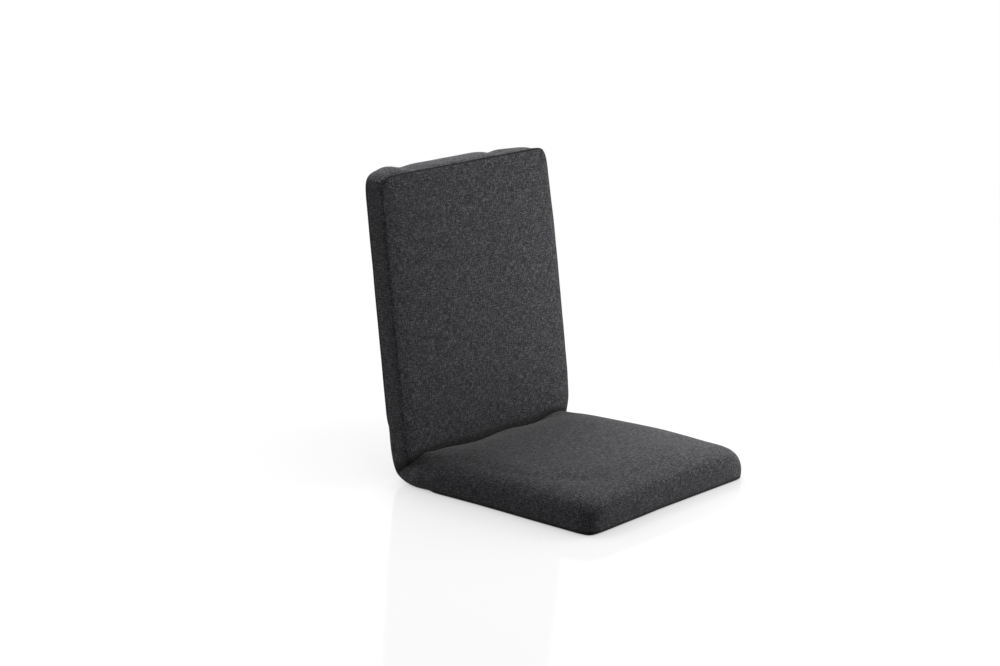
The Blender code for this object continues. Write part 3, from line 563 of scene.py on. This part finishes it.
def cover_cage(mat):
    """Coarse closed cage of the folded cover, with its seams as weights and its cloth laid out flat.

    Each vertex keeps its place in the straight mat (laid), its column, row and level (spot), and whether
    it is on a seam, rests on the floor or is on the top seam (sewn).
    """
    sizes = mat.sizes
    columns, rows, levels = cells = (len(mat.across) + 1, len(mat.along) - 1, mat.levels)
    crease_row = mat.along.index(0.0)
    bm = bmesh.new()
    sharp = bm.edges.layers.float.new("crease_edge")
    laid = bm.verts.layers.float_vector.new("laid")
    spot = bm.verts.layers.float_vector.new("spot")
    sewn = bm.verts.layers.float_vector.new("sewn")
    cloth = bm.loops.layers.uv.new("cloth")
    places = grown_box(bm, cells)
    for vert, (column, row, level) in places.items():
        x, along, depth = mat.place(column, row, level)
        side, end = column in (0, columns), row in (0, rows)
        vert[laid] = (x, along, depth)
        vert[spot] = (column, row, level)
        if side:
            drawn = sizes.side_groove * float(bell(along, mat.side_width)) * (1 - 0.5 * level / levels)
            x -= math.copysign(drawn, x)
        elif level == 0:
            pull = float(bell(along, mat.crease_width))
            depth += sizes.groove * pull * (1 - float(over_hinge(x, HINGE_REACH)))
        vert.co = mat.folded(x, along, depth)
        hem = abs(along) > SEAM_START and level == levels and (side or end)
        rim = along > SEAM_START and level == 0 and (side or end)
        mitre = side and row == 0 and level > 0
        resting = level == levels and along < -SEAM_START
        vert[sewn] = (hem or rim or mitre, resting and not hem, rim and row == rows)
    for edge in bm.edges:
        first, second = (places[v] for v in edge.verts)
        both = [v[sewn].x for v in edge.verts] == [1.0, 1.0]
        if both and first[2] == second[2] == levels:
            edge[sharp] = HEM_SHARP
        elif both and first[2] == second[2] == 0:
            edge[sharp] = TOP_SHARP if first[1] == second[1] == rows else RIM_SHARP
        elif first[1] == second[1] == crease_row and (first[2] == second[2] == 0 or first[0] == second[0]):
            edge[sharp] = FOLD_SHARP
    for face in bm.faces:
        spots = [places[v] for v in face.verts]
        on_seat = max(row for _, row, _ in spots) <= crease_row
        run, inward = (ALONG_SEAT, DOWN) if on_seat else (UP_BACK, TO_REAR)
        for loop in face.loops:
            reach = loop.vert.co - mat.crease
            x, along, depth = reach.x, reach.dot(run), reach.dot(inward)
            if len({column for column, _, _ in spots}) == 1:
                x += math.copysign(depth, x)
            elif len({row for _, row, _ in spots}) == 1:
                along += math.copysign(depth, along)
            loop[cloth].uv = (x, along)
    bmesh.ops.recalc_face_normals(bm, faces=bm.faces)
    return bm


def even_out(mesh, moved, pinned, rounds):
    """Average each point's move with its neighbours' over and over, except where the cloth is held."""
    ends = np.empty(len(mesh.edges) * 2, np.int32)
    mesh.edges.foreach_get("vertices", ends)
    first, second = ends.reshape(-1, 2).T
    total = len(moved)
    shares = np.bincount(first, minlength=total) + np.bincount(second, minlength=total)
    pace = 0.7
    loose = pace * (1 - pinned) / shares
    for _ in range(rounds):
        for axis in range(3):
            line = moved[:, axis]
            around = np.bincount(first, line[second], total) + np.bincount(second, line[first], total)
            moved[:, axis] = line + loose * (around - shares * line)
    return moved


def inflate(cover, pinned, limits):
    """Blow the closed cover up as cloth, held at its seams, with each point kept within its limit."""
    scene = bpy.context.scene
    group = cover.vertex_groups.new(name="pinned")
    for index in np.nonzero(pinned > 0.01)[0]:
        group.add([int(index)], float(pinned[index]), "REPLACE")
    cloth = cover.modifiers.new("inflate", "CLOTH")
    rules = cloth.settings
    rules.quality = 4
    rules.mass = 0.3
    rules.tension_stiffness = 15
    rules.compression_stiffness = 15
    rules.shear_stiffness = 5
    rules.bending_stiffness = 0.5
    rules.use_pressure = True
    rules.uniform_pressure_force = 4
    rules.effector_weights.gravity = 0
    rules.vertex_group_mass = "pinned"
    cloth.point_cache.frame_start = 1
    cloth.point_cache.frame_end = SETTLE_FRAMES
    rest = points_of(cover.data)
    for count in range(1, SETTLE_FRAMES + 1):
        scene.frame_set(count)
    ready = cover.evaluated_get(bpy.context.evaluated_depsgraph_get())
    moved = points_of(ready.data) - rest
    cover.modifiers.clear()
    cover.vertex_groups.clear()
    scene.frame_set(1)
    moved = even_out(cover.data, moved, pinned, EVEN_ROUNDS)
    distance = np.maximum(np.linalg.norm(moved, axis=1), 1e-9)
    held = limits * np.tanh(distance / np.maximum(limits, 1e-6))
    set_points(cover.data, rest + moved * (held / distance)[:, None])


def lumps(points, millimetres, seed):
    """Smooth noise over the points, from -1 to 1."""
    scale = per_metre(millimetres)
    shift = Vector((seed, 2.3 * seed, 5.1 * seed))
    return np.array([noise.noise(Vector(point) * scale + shift) for point in points])


def fill_out(cover, sizes, columns):
    """Inflate the cover from a slightly smaller start, and never leave it thinner than its solids."""
    (_, along, _), (_, _, level), (sewn, resting, _) = columns
    full = points_of(cover.data)
    outward = normals_of(cover.data)
    seam_hold, crease_hold, fold_hold = 0.75, 0.014, 0.045
    pinned = np.clip(np.maximum(resting, (sewn - seam_hold) / (1 - seam_hold)), 0, 1)
    pinned = np.maximum(pinned, bell(along, crease_hold))

    # the rear panel swells less than the rest, and neither the zip's end of it nor the fold swells at all
    rear = (level > 2.5) & (along > 0.03)
    rear_share, zip_start, zip_reach = 0.25, 0.46, 0.05
    limits = sizes.slack + sizes.swell * np.where(rear, rear_share, 1.0)
    near_zip = np.where(rear, share_of(along, zip_start, zip_reach), 0.0)
    limits = limits * (1 - near_zip) + sizes.slack * near_zip
    limits -= (limits - sizes.slack) * bell(along, fold_hold)
    set_points(cover.data, full - outward * (sizes.slack * (1 - pinned))[:, None])
    inflate(cover, pinned, limits)
    points = points_of(cover.data)
    shortfall = np.maximum(-np.sum((points - full) * outward, axis=1), 0)
    set_points(cover.data, points + outward * shortfall[:, None])


def sew(cover, sizes, mat, columns):
    """Give the filled cover its puckers, the wave of its crease and its drawn-in seams, and give how dark its
    cloth is painted: dark seam lines, with painted shade in the crease, at the hem and along the back's right rim.
    """
    (x, along, _), (column, row, level), (sewn, resting, rim) = columns
    top_row = len(mat.along) - 1
    points = points_of(cover.data)
    face = np.clip(1 - level, 0, 1)

    # the top edge of the back, behind its front seam: a full corner, a slack end and two dips
    behind = eased(level, 0, 1.5) * eased(row, top_row - 1, 1)
    ear_place, slack_start = -0.190, 0.05
    rise = sizes.dog_ear * bell(x - ear_place, 0.022) - sizes.droop * eased(x, slack_start, 0.2)
    for dip_place, width, share in ((-0.150, 0.026, 0.65), (0.108, 0.020, 1.0)):
        rise -= sizes.pucker * share * bell(x - dip_place, width)
    points += np.array(UP_BACK) * (rise * behind)[:, None]

    # the seat's cloth is pushed up in slow waves where it meets the back
    wave_place, wave_length, wave_width = 0.035, 0.178, 0.024
    free = 1 - over_hinge(x, 0.020)
    wave = np.cos(2 * math.pi * (x - wave_place) / wave_length) * bell(along, wave_width) * face
    points[:, 2] += sizes.crease_wave * wave * free * (1 - np.abs(x / mat.half) ** 6)

    # the narrow cut at the bottom of the crease, which goes on, less deep, across the side walls
    cut_width, wall_share = 0.0030, 0.6
    on_wall = (column < 0.05) | (column > column.max() - 0.05)
    walls = np.where(on_wall, share_of(level, 2.9, -0.6), 0.0)
    crease = bell(along, cut_width)
    into_fold = np.array(ACROSS_FOLD.cross(Vector((1, 0, 0))))
    points += into_fold * (sizes.cut * crease * face * free)[:, None]
    points[:, 0] -= np.sign(x) * wall_share * sizes.cut * crease * walls
    set_points(cover.data, points)

    # the boxing at the back's top: gathers at the full corner, tucks along it and a hollow between its seams
    boxing = np.where(row > top_row - 0.02, 1.0, 0.0)
    gather_place, gather_pitch, gather_depth = -0.215, 0.016, 0.0014
    tuck_pitch, tuck_depth, hollow_depth = 0.62, 0.0009, 0.0016
    corner = bell(x - gather_place, 0.026) * bell(level - 0.9, 0.8)
    gathers = gather_depth * corner * np.sin(2 * math.pi * (x - 0.012 * level) / gather_pitch)
    tucks = np.cos(2 * math.pi * (level - 0.75 - 0.12 * np.sin(x / 0.028)) / tuck_pitch)
    gathers += tuck_depth * bell(level - 0.8, 0.55) * tucks
    moved = boxing * (gathers - hollow_depth * bell(level - 1.25, 0.5))

    # lumps of the filling, seams drawn in, except the back's front seam at -X, and a bed for the zip
    bed_place, bed_width, bed_half, bed_depth = 0.5567, 0.0135, 0.214, 0.0013
    narrow = share_of(sewn, 0.86, 0.14)
    left_rim = narrow * ((level < 0.5) & (x < 0) & (row < top_row - 0.5))
    right_rim = narrow * ((level < 0.5) & (x > 0))
    zip_bed = (level > 2.9) & (np.abs(x) < bed_half) & (bell(along - bed_place, bed_width) > 0.5)
    moved += sizes.uneven * (lumps(points, 130, 1.0) + 0.5 * lumps(points, 55, 4.0)) * (1 - resting)
    moved -= sizes.seam_depth * (narrow - left_rim) + bed_depth * zip_bed
    points = points_of(cover.data) + normals_of(cover.data) * moved[:, None]
    floor_gap = 0.0016
    points[:, 2] = np.maximum(points[:, 2], floor_gap)
    set_points(cover.data, points)

    # how dark each seam, the hem and the crease are painted: dark seam lines, with painted shade and painted
    # shadow as well
    seam_shade, top_shade, right_painted_shade, hem_seam_and_painted_shadow, crease_shade = 0.2, 0.65, 0.6, 0.92, 0.95
    # the hem: a dark hem seam with a painted contact shadow where the cloth meets the floor
    hem = share_of(sewn, 0.56, 0.08) * share_of(level, 2.56, 0.08)
    # seam lines are darkened; the back's right rim also gets painted shade, and its left rim none of the seam's
    # darkness
    seams_and_painted_shade = narrow * (seam_shade + top_shade * rim) - seam_shade * left_rim + right_painted_shade * right_rim
    # a painted shadow in the crease, with a painted band of shade above it on the back's side
    shadow = np.maximum(crease, 0.75 * bell(along - 0.003, 0.0060)) * np.maximum(face, walls)
    return np.clip(seams_and_painted_shade + hem_seam_and_painted_shadow * hem + crease_shade * shadow, 0, 1)


class FLOORCHAIR_OT_cover(bpy.types.Operator):
    """Sew the cover: both pads, the soft elbow between them and the rear panel as one closed form"""

    bl_idname = "floorchair.cover"
    bl_label = "Sewn cover"

    def execute(self, context):
        sizes = context.scene.floorchair_cover
        mat = Mat(sizes)
        cover = mesh_object("sewn_cover", cover_cage(mat))
        rounding = cover.modifiers.new("rounding", "SUBSURF")
        rounding.levels = 3
        rounding.render_levels = 3
        rounding.uv_smooth = "NONE"
        settle(cover)
        layers = ("laid", "spot", "sewn")
        columns = [vectors(cover.data.attributes[name].data, "vector").T for name in layers]
        fill_out(cover, sizes, columns)
        shade = sew(cover, sizes, mat, columns)
        for name in layers:
            cover.data.attributes.remove(cover.data.attributes[name])
        # how dark the cloth is painted: dark seam lines, with painted shade in the crease, at the hem and along
        # the back's right rim
        seam = cover.data.attributes.new("seam", "FLOAT", "POINT")
        seam.data.foreach_set("value", shade.astype(np.float32))
        cover.data.shade_smooth()
        cover.data.materials.append(melange_cloth(sizes))
        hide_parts("seat_cover_top", "back_cover_front", "back_cover_rear", "hinge_sleeve")
        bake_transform(cover)
        return {"FINISHED"}


class FLOORCHAIR_OT_base_cloth(bpy.types.Operator):
    """Lay the non-woven cloth under the seat, with a hem round it"""

    bl_idname = "floorchair.base_cloth"
    bl_label = "Base cloth"

    def execute(self, context):
        sizes = context.scene.floorchair_cover
        low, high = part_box("seat_cover_base")
        side_gap, end_gap, corner, thick = 0.006, 0.004, 0.024, 0.0008
        hem = ((0.006, 0.0), (0.0015, 0.0006))
        bm = bmesh.new()
        bmesh.ops.create_grid(bm, x_segments=1, y_segments=1, size=0.5)
        bmesh.ops.scale(bm, vec=(high.x - low.x - side_gap, high.y - low.y - end_gap, 1), verts=bm.verts)
        bmesh.ops.translate(bm, vec=((low.x + high.x) / 2, (low.y + high.y) / 2, thick), verts=bm.verts)
        front = [v for v in bm.verts if v.co.y < 0]
        bmesh.ops.bevel(bm, geom=front, offset=corner, affect="VERTICES", segments=6, profile=0.5, material=-1)
        for width, rise in hem:
            middle = max(bm.faces, key=lambda f: f.calc_area())
            bmesh.ops.inset_region(bm, faces=[middle], thickness=width, depth=rise)
        bmesh.ops.recalc_face_normals(bm, faces=bm.faces)
        cloth = mesh_object("seat_base_cloth", bm)
        wall = cloth.modifiers.new("cloth", "SOLIDIFY")
        wall.thickness = thick
        wall.offset = 0
        cloth.data.materials.append(spunbond_cloth(sizes))
        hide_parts("seat_cover_base")
        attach(cloth, "seat")
        return {"FINISHED"}


class FLOORCHAIR_OT_foam(bpy.types.Operator):
    """Cut the four foam pieces, with softened edges"""

    bl_idname = "floorchair.foam"
    bl_label = "Foam"

    def press_back(self, vert):
        """Press a back block in at its top, its sides and its upper corners, where the cover is tight."""
        top_press, side_press, corner_press, rear_press = 0.011, 0.003, 0.008, 0.004
        up = (vert.co - AXIS).dot(UP_BACK)
        wide = abs(vert.co.x)
        corner = float(eased(wide, 0.19, 0.05) * eased(up, 0.48, 0.07))
        vert.co -= UP_BACK * (top_press * float(eased(up, 0.52, 0.07)))
        inward = corner_press * corner + side_press * float(eased(wide, 0.20, 0.04))
        vert.co.x -= math.copysign(inward, vert.co.x)
        rear = float(eased((vert.co - AXIS).dot(TO_REAR), 0, 0.04))
        vert.co -= TO_REAR * (rear_press * corner * rear)

    def press_seat(self, vert):
        """Press a seat block in at its front corners and down at its rear, and keep it off the floor."""
        corner_press, corner_fall, rear_fall, floor_gap = 0.012, 0.010, 0.006, 0.003
        high = float(eased(vert.co.z, 0.03, 0.03))
        corner = float(eased(abs(vert.co.x), 0.20, 0.05) * eased(-vert.co.y, 0.19, 0.05))
        vert.co.x -= math.copysign(corner_press * corner, vert.co.x)
        vert.co.y += corner_press * corner
        rear = float(eased(vert.co.y, 0.12, 0.05) * (1 + 0.5 * eased(abs(vert.co.x), 0.20, 0.04)))
        vert.co.z = max(vert.co.z - high * (corner_fall * corner + rear_fall * rear), floor_gap)

    def execute(self, context):
        finish = open_cell_foam(context.scene.floorchair_inside.foam)
        for name in ("seat_foam_top", "seat_foam_core", "back_foam_front", "back_foam_core"):
            bm = bmesh.new()
            bm.from_mesh(NODES[name].data)
            bmesh.ops.remove_doubles(bm, verts=bm.verts, dist=1e-5)
            for vert in bm.verts:
                if name.startswith("back"):
                    self.press_back(vert)
                else:
                    self.press_seat(vert)
            bmesh.ops.dissolve_limit(bm, angle_limit=math.radians(1), verts=bm.verts, edges=bm.edges)
            hard = [e for e in bm.edges if len(e.link_faces) == 2 and e.calc_face_angle() > math.radians(60)]
            bmesh.ops.bevel(bm, geom=hard, offset=0.0012, affect="EDGES", segments=2, profile=0.5,
                            material=-1, clamp_overlap=True)
            bmesh.ops.triangulate(bm, faces=[f for f in bm.faces if len(f.verts) > 4])
            piece = mesh_object(name + "_pad", bm)
            piece.data.shade_smooth()
            piece.data.materials.append(finish)
            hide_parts(name)
            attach(piece, "seat" if name.startswith("seat") else "back")
        return {"FINISHED"}


class FLOORCHAIR_OT_webbing(bpy.types.Operator):
    """Stretch the webbing straps between the tubes and wrap their ends round them"""

    bl_idname = "floorchair.webbing"
    bl_label = "Webbing"

    def strap(self, name, sizes, run, upward):
        """A strap across the chair: its middle line goes over both tubes, then it gets its width."""
        low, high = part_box(name)
        centre = (low + high) / 2
        outer, wrapped, turns, steps, strips = 0.0102, 240, 12, 6, 4
        reach = high.x - outer
        radius = outer - sizes.strap_thick / 2
        wrap = [math.radians(90 - wrapped * step / turns) for step in range(turns + 1)]
        right = [(reach + radius * math.cos(turn), radius * math.sin(turn)) for turn in wrap]
        middle = [(reach * step / steps, radius - sizes.strap_sag * (1 - (step / steps) ** 2))
                  for step in range(steps)]
        half = middle + right
        path = [(-x, z) for x, z in reversed(half[1:])] + half
        bm = bmesh.new()
        flat = bm.loops.layers.uv.new("strap")
        start = centre - run * sizes.strap_width / 2
        line = [bm.verts.new(start + Vector((x, 0, 0)) + upward * z) for x, z in path]
        edges = [bm.edges.new(pair) for pair in zip(line, line[1:])]
        along = [0.0]
        for first, second in zip(line, line[1:]):
            along.append(along[-1] + (second.co - first.co).length)
        for _ in range(strips):
            grown = bmesh.ops.extrude_edge_only(bm, edges=edges)["geom"]
            bmesh.ops.translate(bm, vec=run * sizes.strap_width / strips,
                                verts=[item for item in grown if isinstance(item, bmesh.types.BMVert)])
            edges = [item for item in grown if isinstance(item, bmesh.types.BMEdge) and item.is_boundary
                     and abs((item.verts[0].co - item.verts[1].co).dot(run)) < 1e-6]
        bm.verts.index_update()
        # extruding leaves the faces in no fixed order
        bm.faces.sort(key=lambda face: min(vert.index for vert in face.verts))
        for face in bm.faces:
            for loop in face.loops:
                across = (loop.vert.co - centre).dot(run)
                loop[flat].uv = (along[loop.vert.index % len(line)], across)
        bmesh.ops.recalc_face_normals(bm, faces=bm.faces)
        return bm

    def execute(self, context):
        sizes = context.scene.floorchair_inside
        finish = elastic_webbing(sizes)
        for name in sorted(n for n in NODES if "webbing" in n):
            on_seat = name.startswith("seat")
            run, upward = (ALONG_SEAT, -DOWN) if on_seat else (UP_BACK, -TO_REAR)
            strap = mesh_object(name + "_strap", self.strap(name, sizes, run, upward))
            wall = strap.modifiers.new("webbing", "SOLIDIFY")
            wall.thickness = sizes.strap_thick
            wall.offset = 0
            strap.data.shade_smooth()
            strap.data.materials.append(finish)
            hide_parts(name)
            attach(strap, "seat" if on_seat else "back")
        return {"FINISHED"}


def turn_about(axis, degrees):
    return Matrix.Rotation(math.radians(degrees), 3, axis)


class FLOORCHAIR_OT_zip(bpy.types.Operator):
    """Sew the zip into the rear panel: two woven tapes and a nylon coil"""

    bl_idname = "floorchair.zip"
    bl_label = "Zip"

    def execute(self, context):
        sizes = context.scene.floorchair_inside
        bm = bmesh.new()
        thick, gap, tooth_long, tooth_lean = 0.0008, 0.0006, 0.0036, 12
        for side in (-1, 1):
            band = bmesh.ops.create_cube(bm, size=1.0)["verts"]
            wide = sizes.tape_half - gap
            bmesh.ops.scale(bm, vec=(2 * sizes.zip_half, wide, thick), verts=band)
            bmesh.ops.translate(bm, vec=(0, side * (gap + wide / 2), thick / 2), verts=band)
        edges = [e for e in bm.edges if abs(e.verts[0].co.x - e.verts[1].co.x) > 0.1]
        bmesh.ops.bevel(bm, geom=edges, offset=0.0003, affect="EDGES", segments=2, profile=0.5, material=-1)
        turns = int(2 * sizes.zip_half / sizes.tooth_pitch) - 4
        for count in range(turns):
            side = 1 if count % 2 else -1
            x = (count - (turns - 1) / 2) * sizes.tooth_pitch
            wire = bmesh.ops.create_cone(bm, cap_ends=True, segments=6, radius1=sizes.tooth_wire,
                                         radius2=0.7 * sizes.tooth_wire, depth=tooth_long)["verts"]
            bmesh.ops.rotate(bm, cent=(0, 0, 0), matrix=turn_about("X", 90 * side), verts=wire)
            bmesh.ops.rotate(bm, cent=(0, 0, 0), matrix=turn_about("Z", tooth_lean), verts=wire)
            bmesh.ops.translate(bm, vec=(x, side * gap, -sizes.tooth_wire), verts=wire)
        origin = AXIS + UP_BACK * sizes.zip_place + TO_REAR * sizes.zip_plane
        for vert in bm.verts:
            x, up, inward = vert.co
            vert.co = origin + Vector((x, 0, 0)) + UP_BACK * up - TO_REAR * inward
        bmesh.ops.recalc_face_normals(bm, faces=bm.faces)
        fastener = mesh_object("rear_zip", bm)
        fastener.data.materials.append(zip_nylon(sizes.nylon))
        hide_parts("zip_tape")
        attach(fastener, "back")
        return {"FINISHED"}


class FLOORCHAIR_OT_hardware(bpy.types.Operator):
    """Finish the tubes, hinges, rivets, pawls, springs and zip slider"""

    bl_idname = "floorchair.hardware"
    bl_label = "Hardware finishes"

    def execute(self, context):
        sizes = context.scene.floorchair_inside
        finishes = {
            "powder_coat": powder_coat(sizes.powder),
            "zinc_steel": plated_steel("zinc-plated steel", sizes.zinc, "#8f9291", 1.2),
            "spring_steel": plated_steel("hardened spring steel", sizes.spring, "#45474b", 0.8),
        }
        for subpart in frame["record"]["subparts"]:
            finish = finishes.get(subpart["material_slot"])
            if finish:
                NODES[subpart["node"]].material_slots[0].material = finish
        return {"FINISHED"}


def seen_directly(tree):
    """One for rays from the camera, from a mirror or through glass, and zero for light on its way round."""
    path = node(tree, "ShaderNodeLightPath").node.outputs
    seen = node(tree, "ShaderNodeMath", {0: path["Is Camera Ray"], 1: path["Is Glossy Ray"]},
                operation="MAXIMUM")
    return node(tree, "ShaderNodeMath", {0: seen, 1: path["Is Transmission Ray"]}, operation="MAXIMUM")


class FLOORCHAIR_OT_stage(bpy.types.Operator):
    """Set the floor, the light and the camera"""

    bl_idname = "floorchair.stage"
    bl_label = "Stage"

    def lay_floor(self, stage):
        bm = bmesh.new()
        bmesh.ops.create_circle(bm, cap_ends=True, segments=64, radius=60.0)
        floor = mesh_object("floor", bm)
        material, tree = new_material("white glossy floor", Roughness=0.6,
                                      Base_Color=opaque(stage.bounce))
        bounced = tree.nodes["Principled BSDF"].outputs[0]
        matt = node(tree, "ShaderNodeBsdfDiffuse", {"Color": opaque(stage.floor)})
        # ambient occlusion greys the floor's glow near the chair: a painted soft shadow
        open_sky = node(tree, "ShaderNodeAmbientOcclusion", {"Distance": PAINTED_SHADOW_REACH}, "AO", samples=16)
        glow_with_painted_shadow = node(tree, "ShaderNodeMath", {0: open_sky, 1: PAINTED_SHADOW_MOST, 2: 1 - PAINTED_SHADOW_MOST},
                      operation="MULTIPLY_ADD")
        white = node(tree, "ShaderNodeEmission", {"Color": glow_with_painted_shadow, "Strength": FLOOR_GLOW})
        gloss = node(tree, "ShaderNodeBsdfGlossy", {"Roughness": MIRROR_BLUR})
        pale = node(tree, "ShaderNodeMixShader", {0: GLOW_SHARE, 1: matt, 2: white})
        shiny = node(tree, "ShaderNodeMixShader", {0: MIRROR_SHARE, 1: pale, 2: gloss})
        either = node(tree, "ShaderNodeMixShader", {0: seen_directly(tree), 1: bounced, 2: shiny})
        tree.links.new(either, tree.nodes["Material Output"].inputs["Surface"])
        floor.data.materials.append(material)

    def light(self, scene, stage):
        world = bpy.data.worlds.new("studio")
        world.use_nodes = True
        tree = world.node_tree
        backdrop = tree.nodes["Background"]
        backdrop.inputs["Color"].default_value = (1, 1, 1, 1)
        strength = node(tree, "ShaderNodeMix", {"Factor": seen_directly(tree), "A": stage.sky, "B": 1.0})
        tree.links.new(strength, backdrop.inputs["Strength"])
        scene.world = world
        sun = bpy.data.lights.new("soft key", "SUN")
        sun.energy = stage.key
        sun.angle = KEY_SPREAD
        self.hang(sun, (0, 0, 2), KEY_AIM)
        for name, power, size, place, aim in (
                ("side softbox", stage.side, 0.6, (0.80, -0.55, 0.62), (0, 0, 0.2)),
                ("edge softbox", stage.edge, 0.3, (0.0, 0.42, 1.05), (0, 0.36, 0.63))):
            box = bpy.data.lights.new(name, "AREA")
            box.energy = power
            box.size = size
            self.hang(box, place, Vector(aim) - Vector(place))

    def hang(self, lamp, place, towards):
        made = put(lamp.name, lamp)
        made.visible_camera = False
        made.location = place
        made.rotation_euler = towards.to_track_quat("-Z", "Y").to_euler()

    def execute(self, context):
        scene = context.scene
        stage = scene.floorchair_stage
        scene.view_settings.view_transform = "Standard"
        self.lay_floor(stage)
        self.light(scene, stage)
        camera = bpy.data.cameras.new("photo camera")
        camera.sensor_width = 36.0
        camera.lens = stage.lens
        stand = put("photo camera", camera)
        stand.location = CAMERA_PLACE
        level = CAMERA_AIM.to_track_quat("-Z", "Y")
        stand.rotation_euler = (level @ Quaternion((0, 0, 1), stage.roll)).to_euler()
        scene.camera = stand
        return {"FINISHED"}


class FLOORCHAIR_PT_panel(bpy.types.Panel):
    """Lists the steps that dress the chair"""

    bl_label = "Floor chair"
    bl_idname = "FLOORCHAIR_PT_panel"
    bl_space_type = "VIEW_3D"
    bl_region_type = "UI"
    bl_category = "Floor chair"

    def draw(self, context):
        for step in STEPS:
            self.layout.operator(step.bl_idname)


STEPS = (FLOORCHAIR_OT_stage, FLOORCHAIR_OT_cover, FLOORCHAIR_OT_base_cloth, FLOORCHAIR_OT_foam,
         FLOORCHAIR_OT_webbing, FLOORCHAIR_OT_zip, FLOORCHAIR_OT_hardware)
GROUPS = {"floorchair_cover": FloorChairCover, "floorchair_inside": FloorChairInside,
          "floorchair_stage": FloorChairStage}
CLASSES = (*GROUPS.values(), *STEPS, FLOORCHAIR_PT_panel)


def register():
    for cls in CLASSES:
        bpy.utils.register_class(cls)
    for name, group in GROUPS.items():
        setattr(bpy.types.Scene, name, PointerProperty(type=group))


def unregister():
    for name in GROUPS:
        delattr(bpy.types.Scene, name)
    for cls in reversed(CLASSES):
        bpy.utils.unregister_class(cls)


def main():
    register()
    bpy.ops.floorchair.stage()
    bpy.ops.floorchair.cover()
    bpy.ops.floorchair.base_cloth()
    bpy.ops.floorchair.foam()
    bpy.ops.floorchair.webbing()
    bpy.ops.floorchair.zip()
    bpy.ops.floorchair.hardware()


if __name__ == "__main__":
    main()
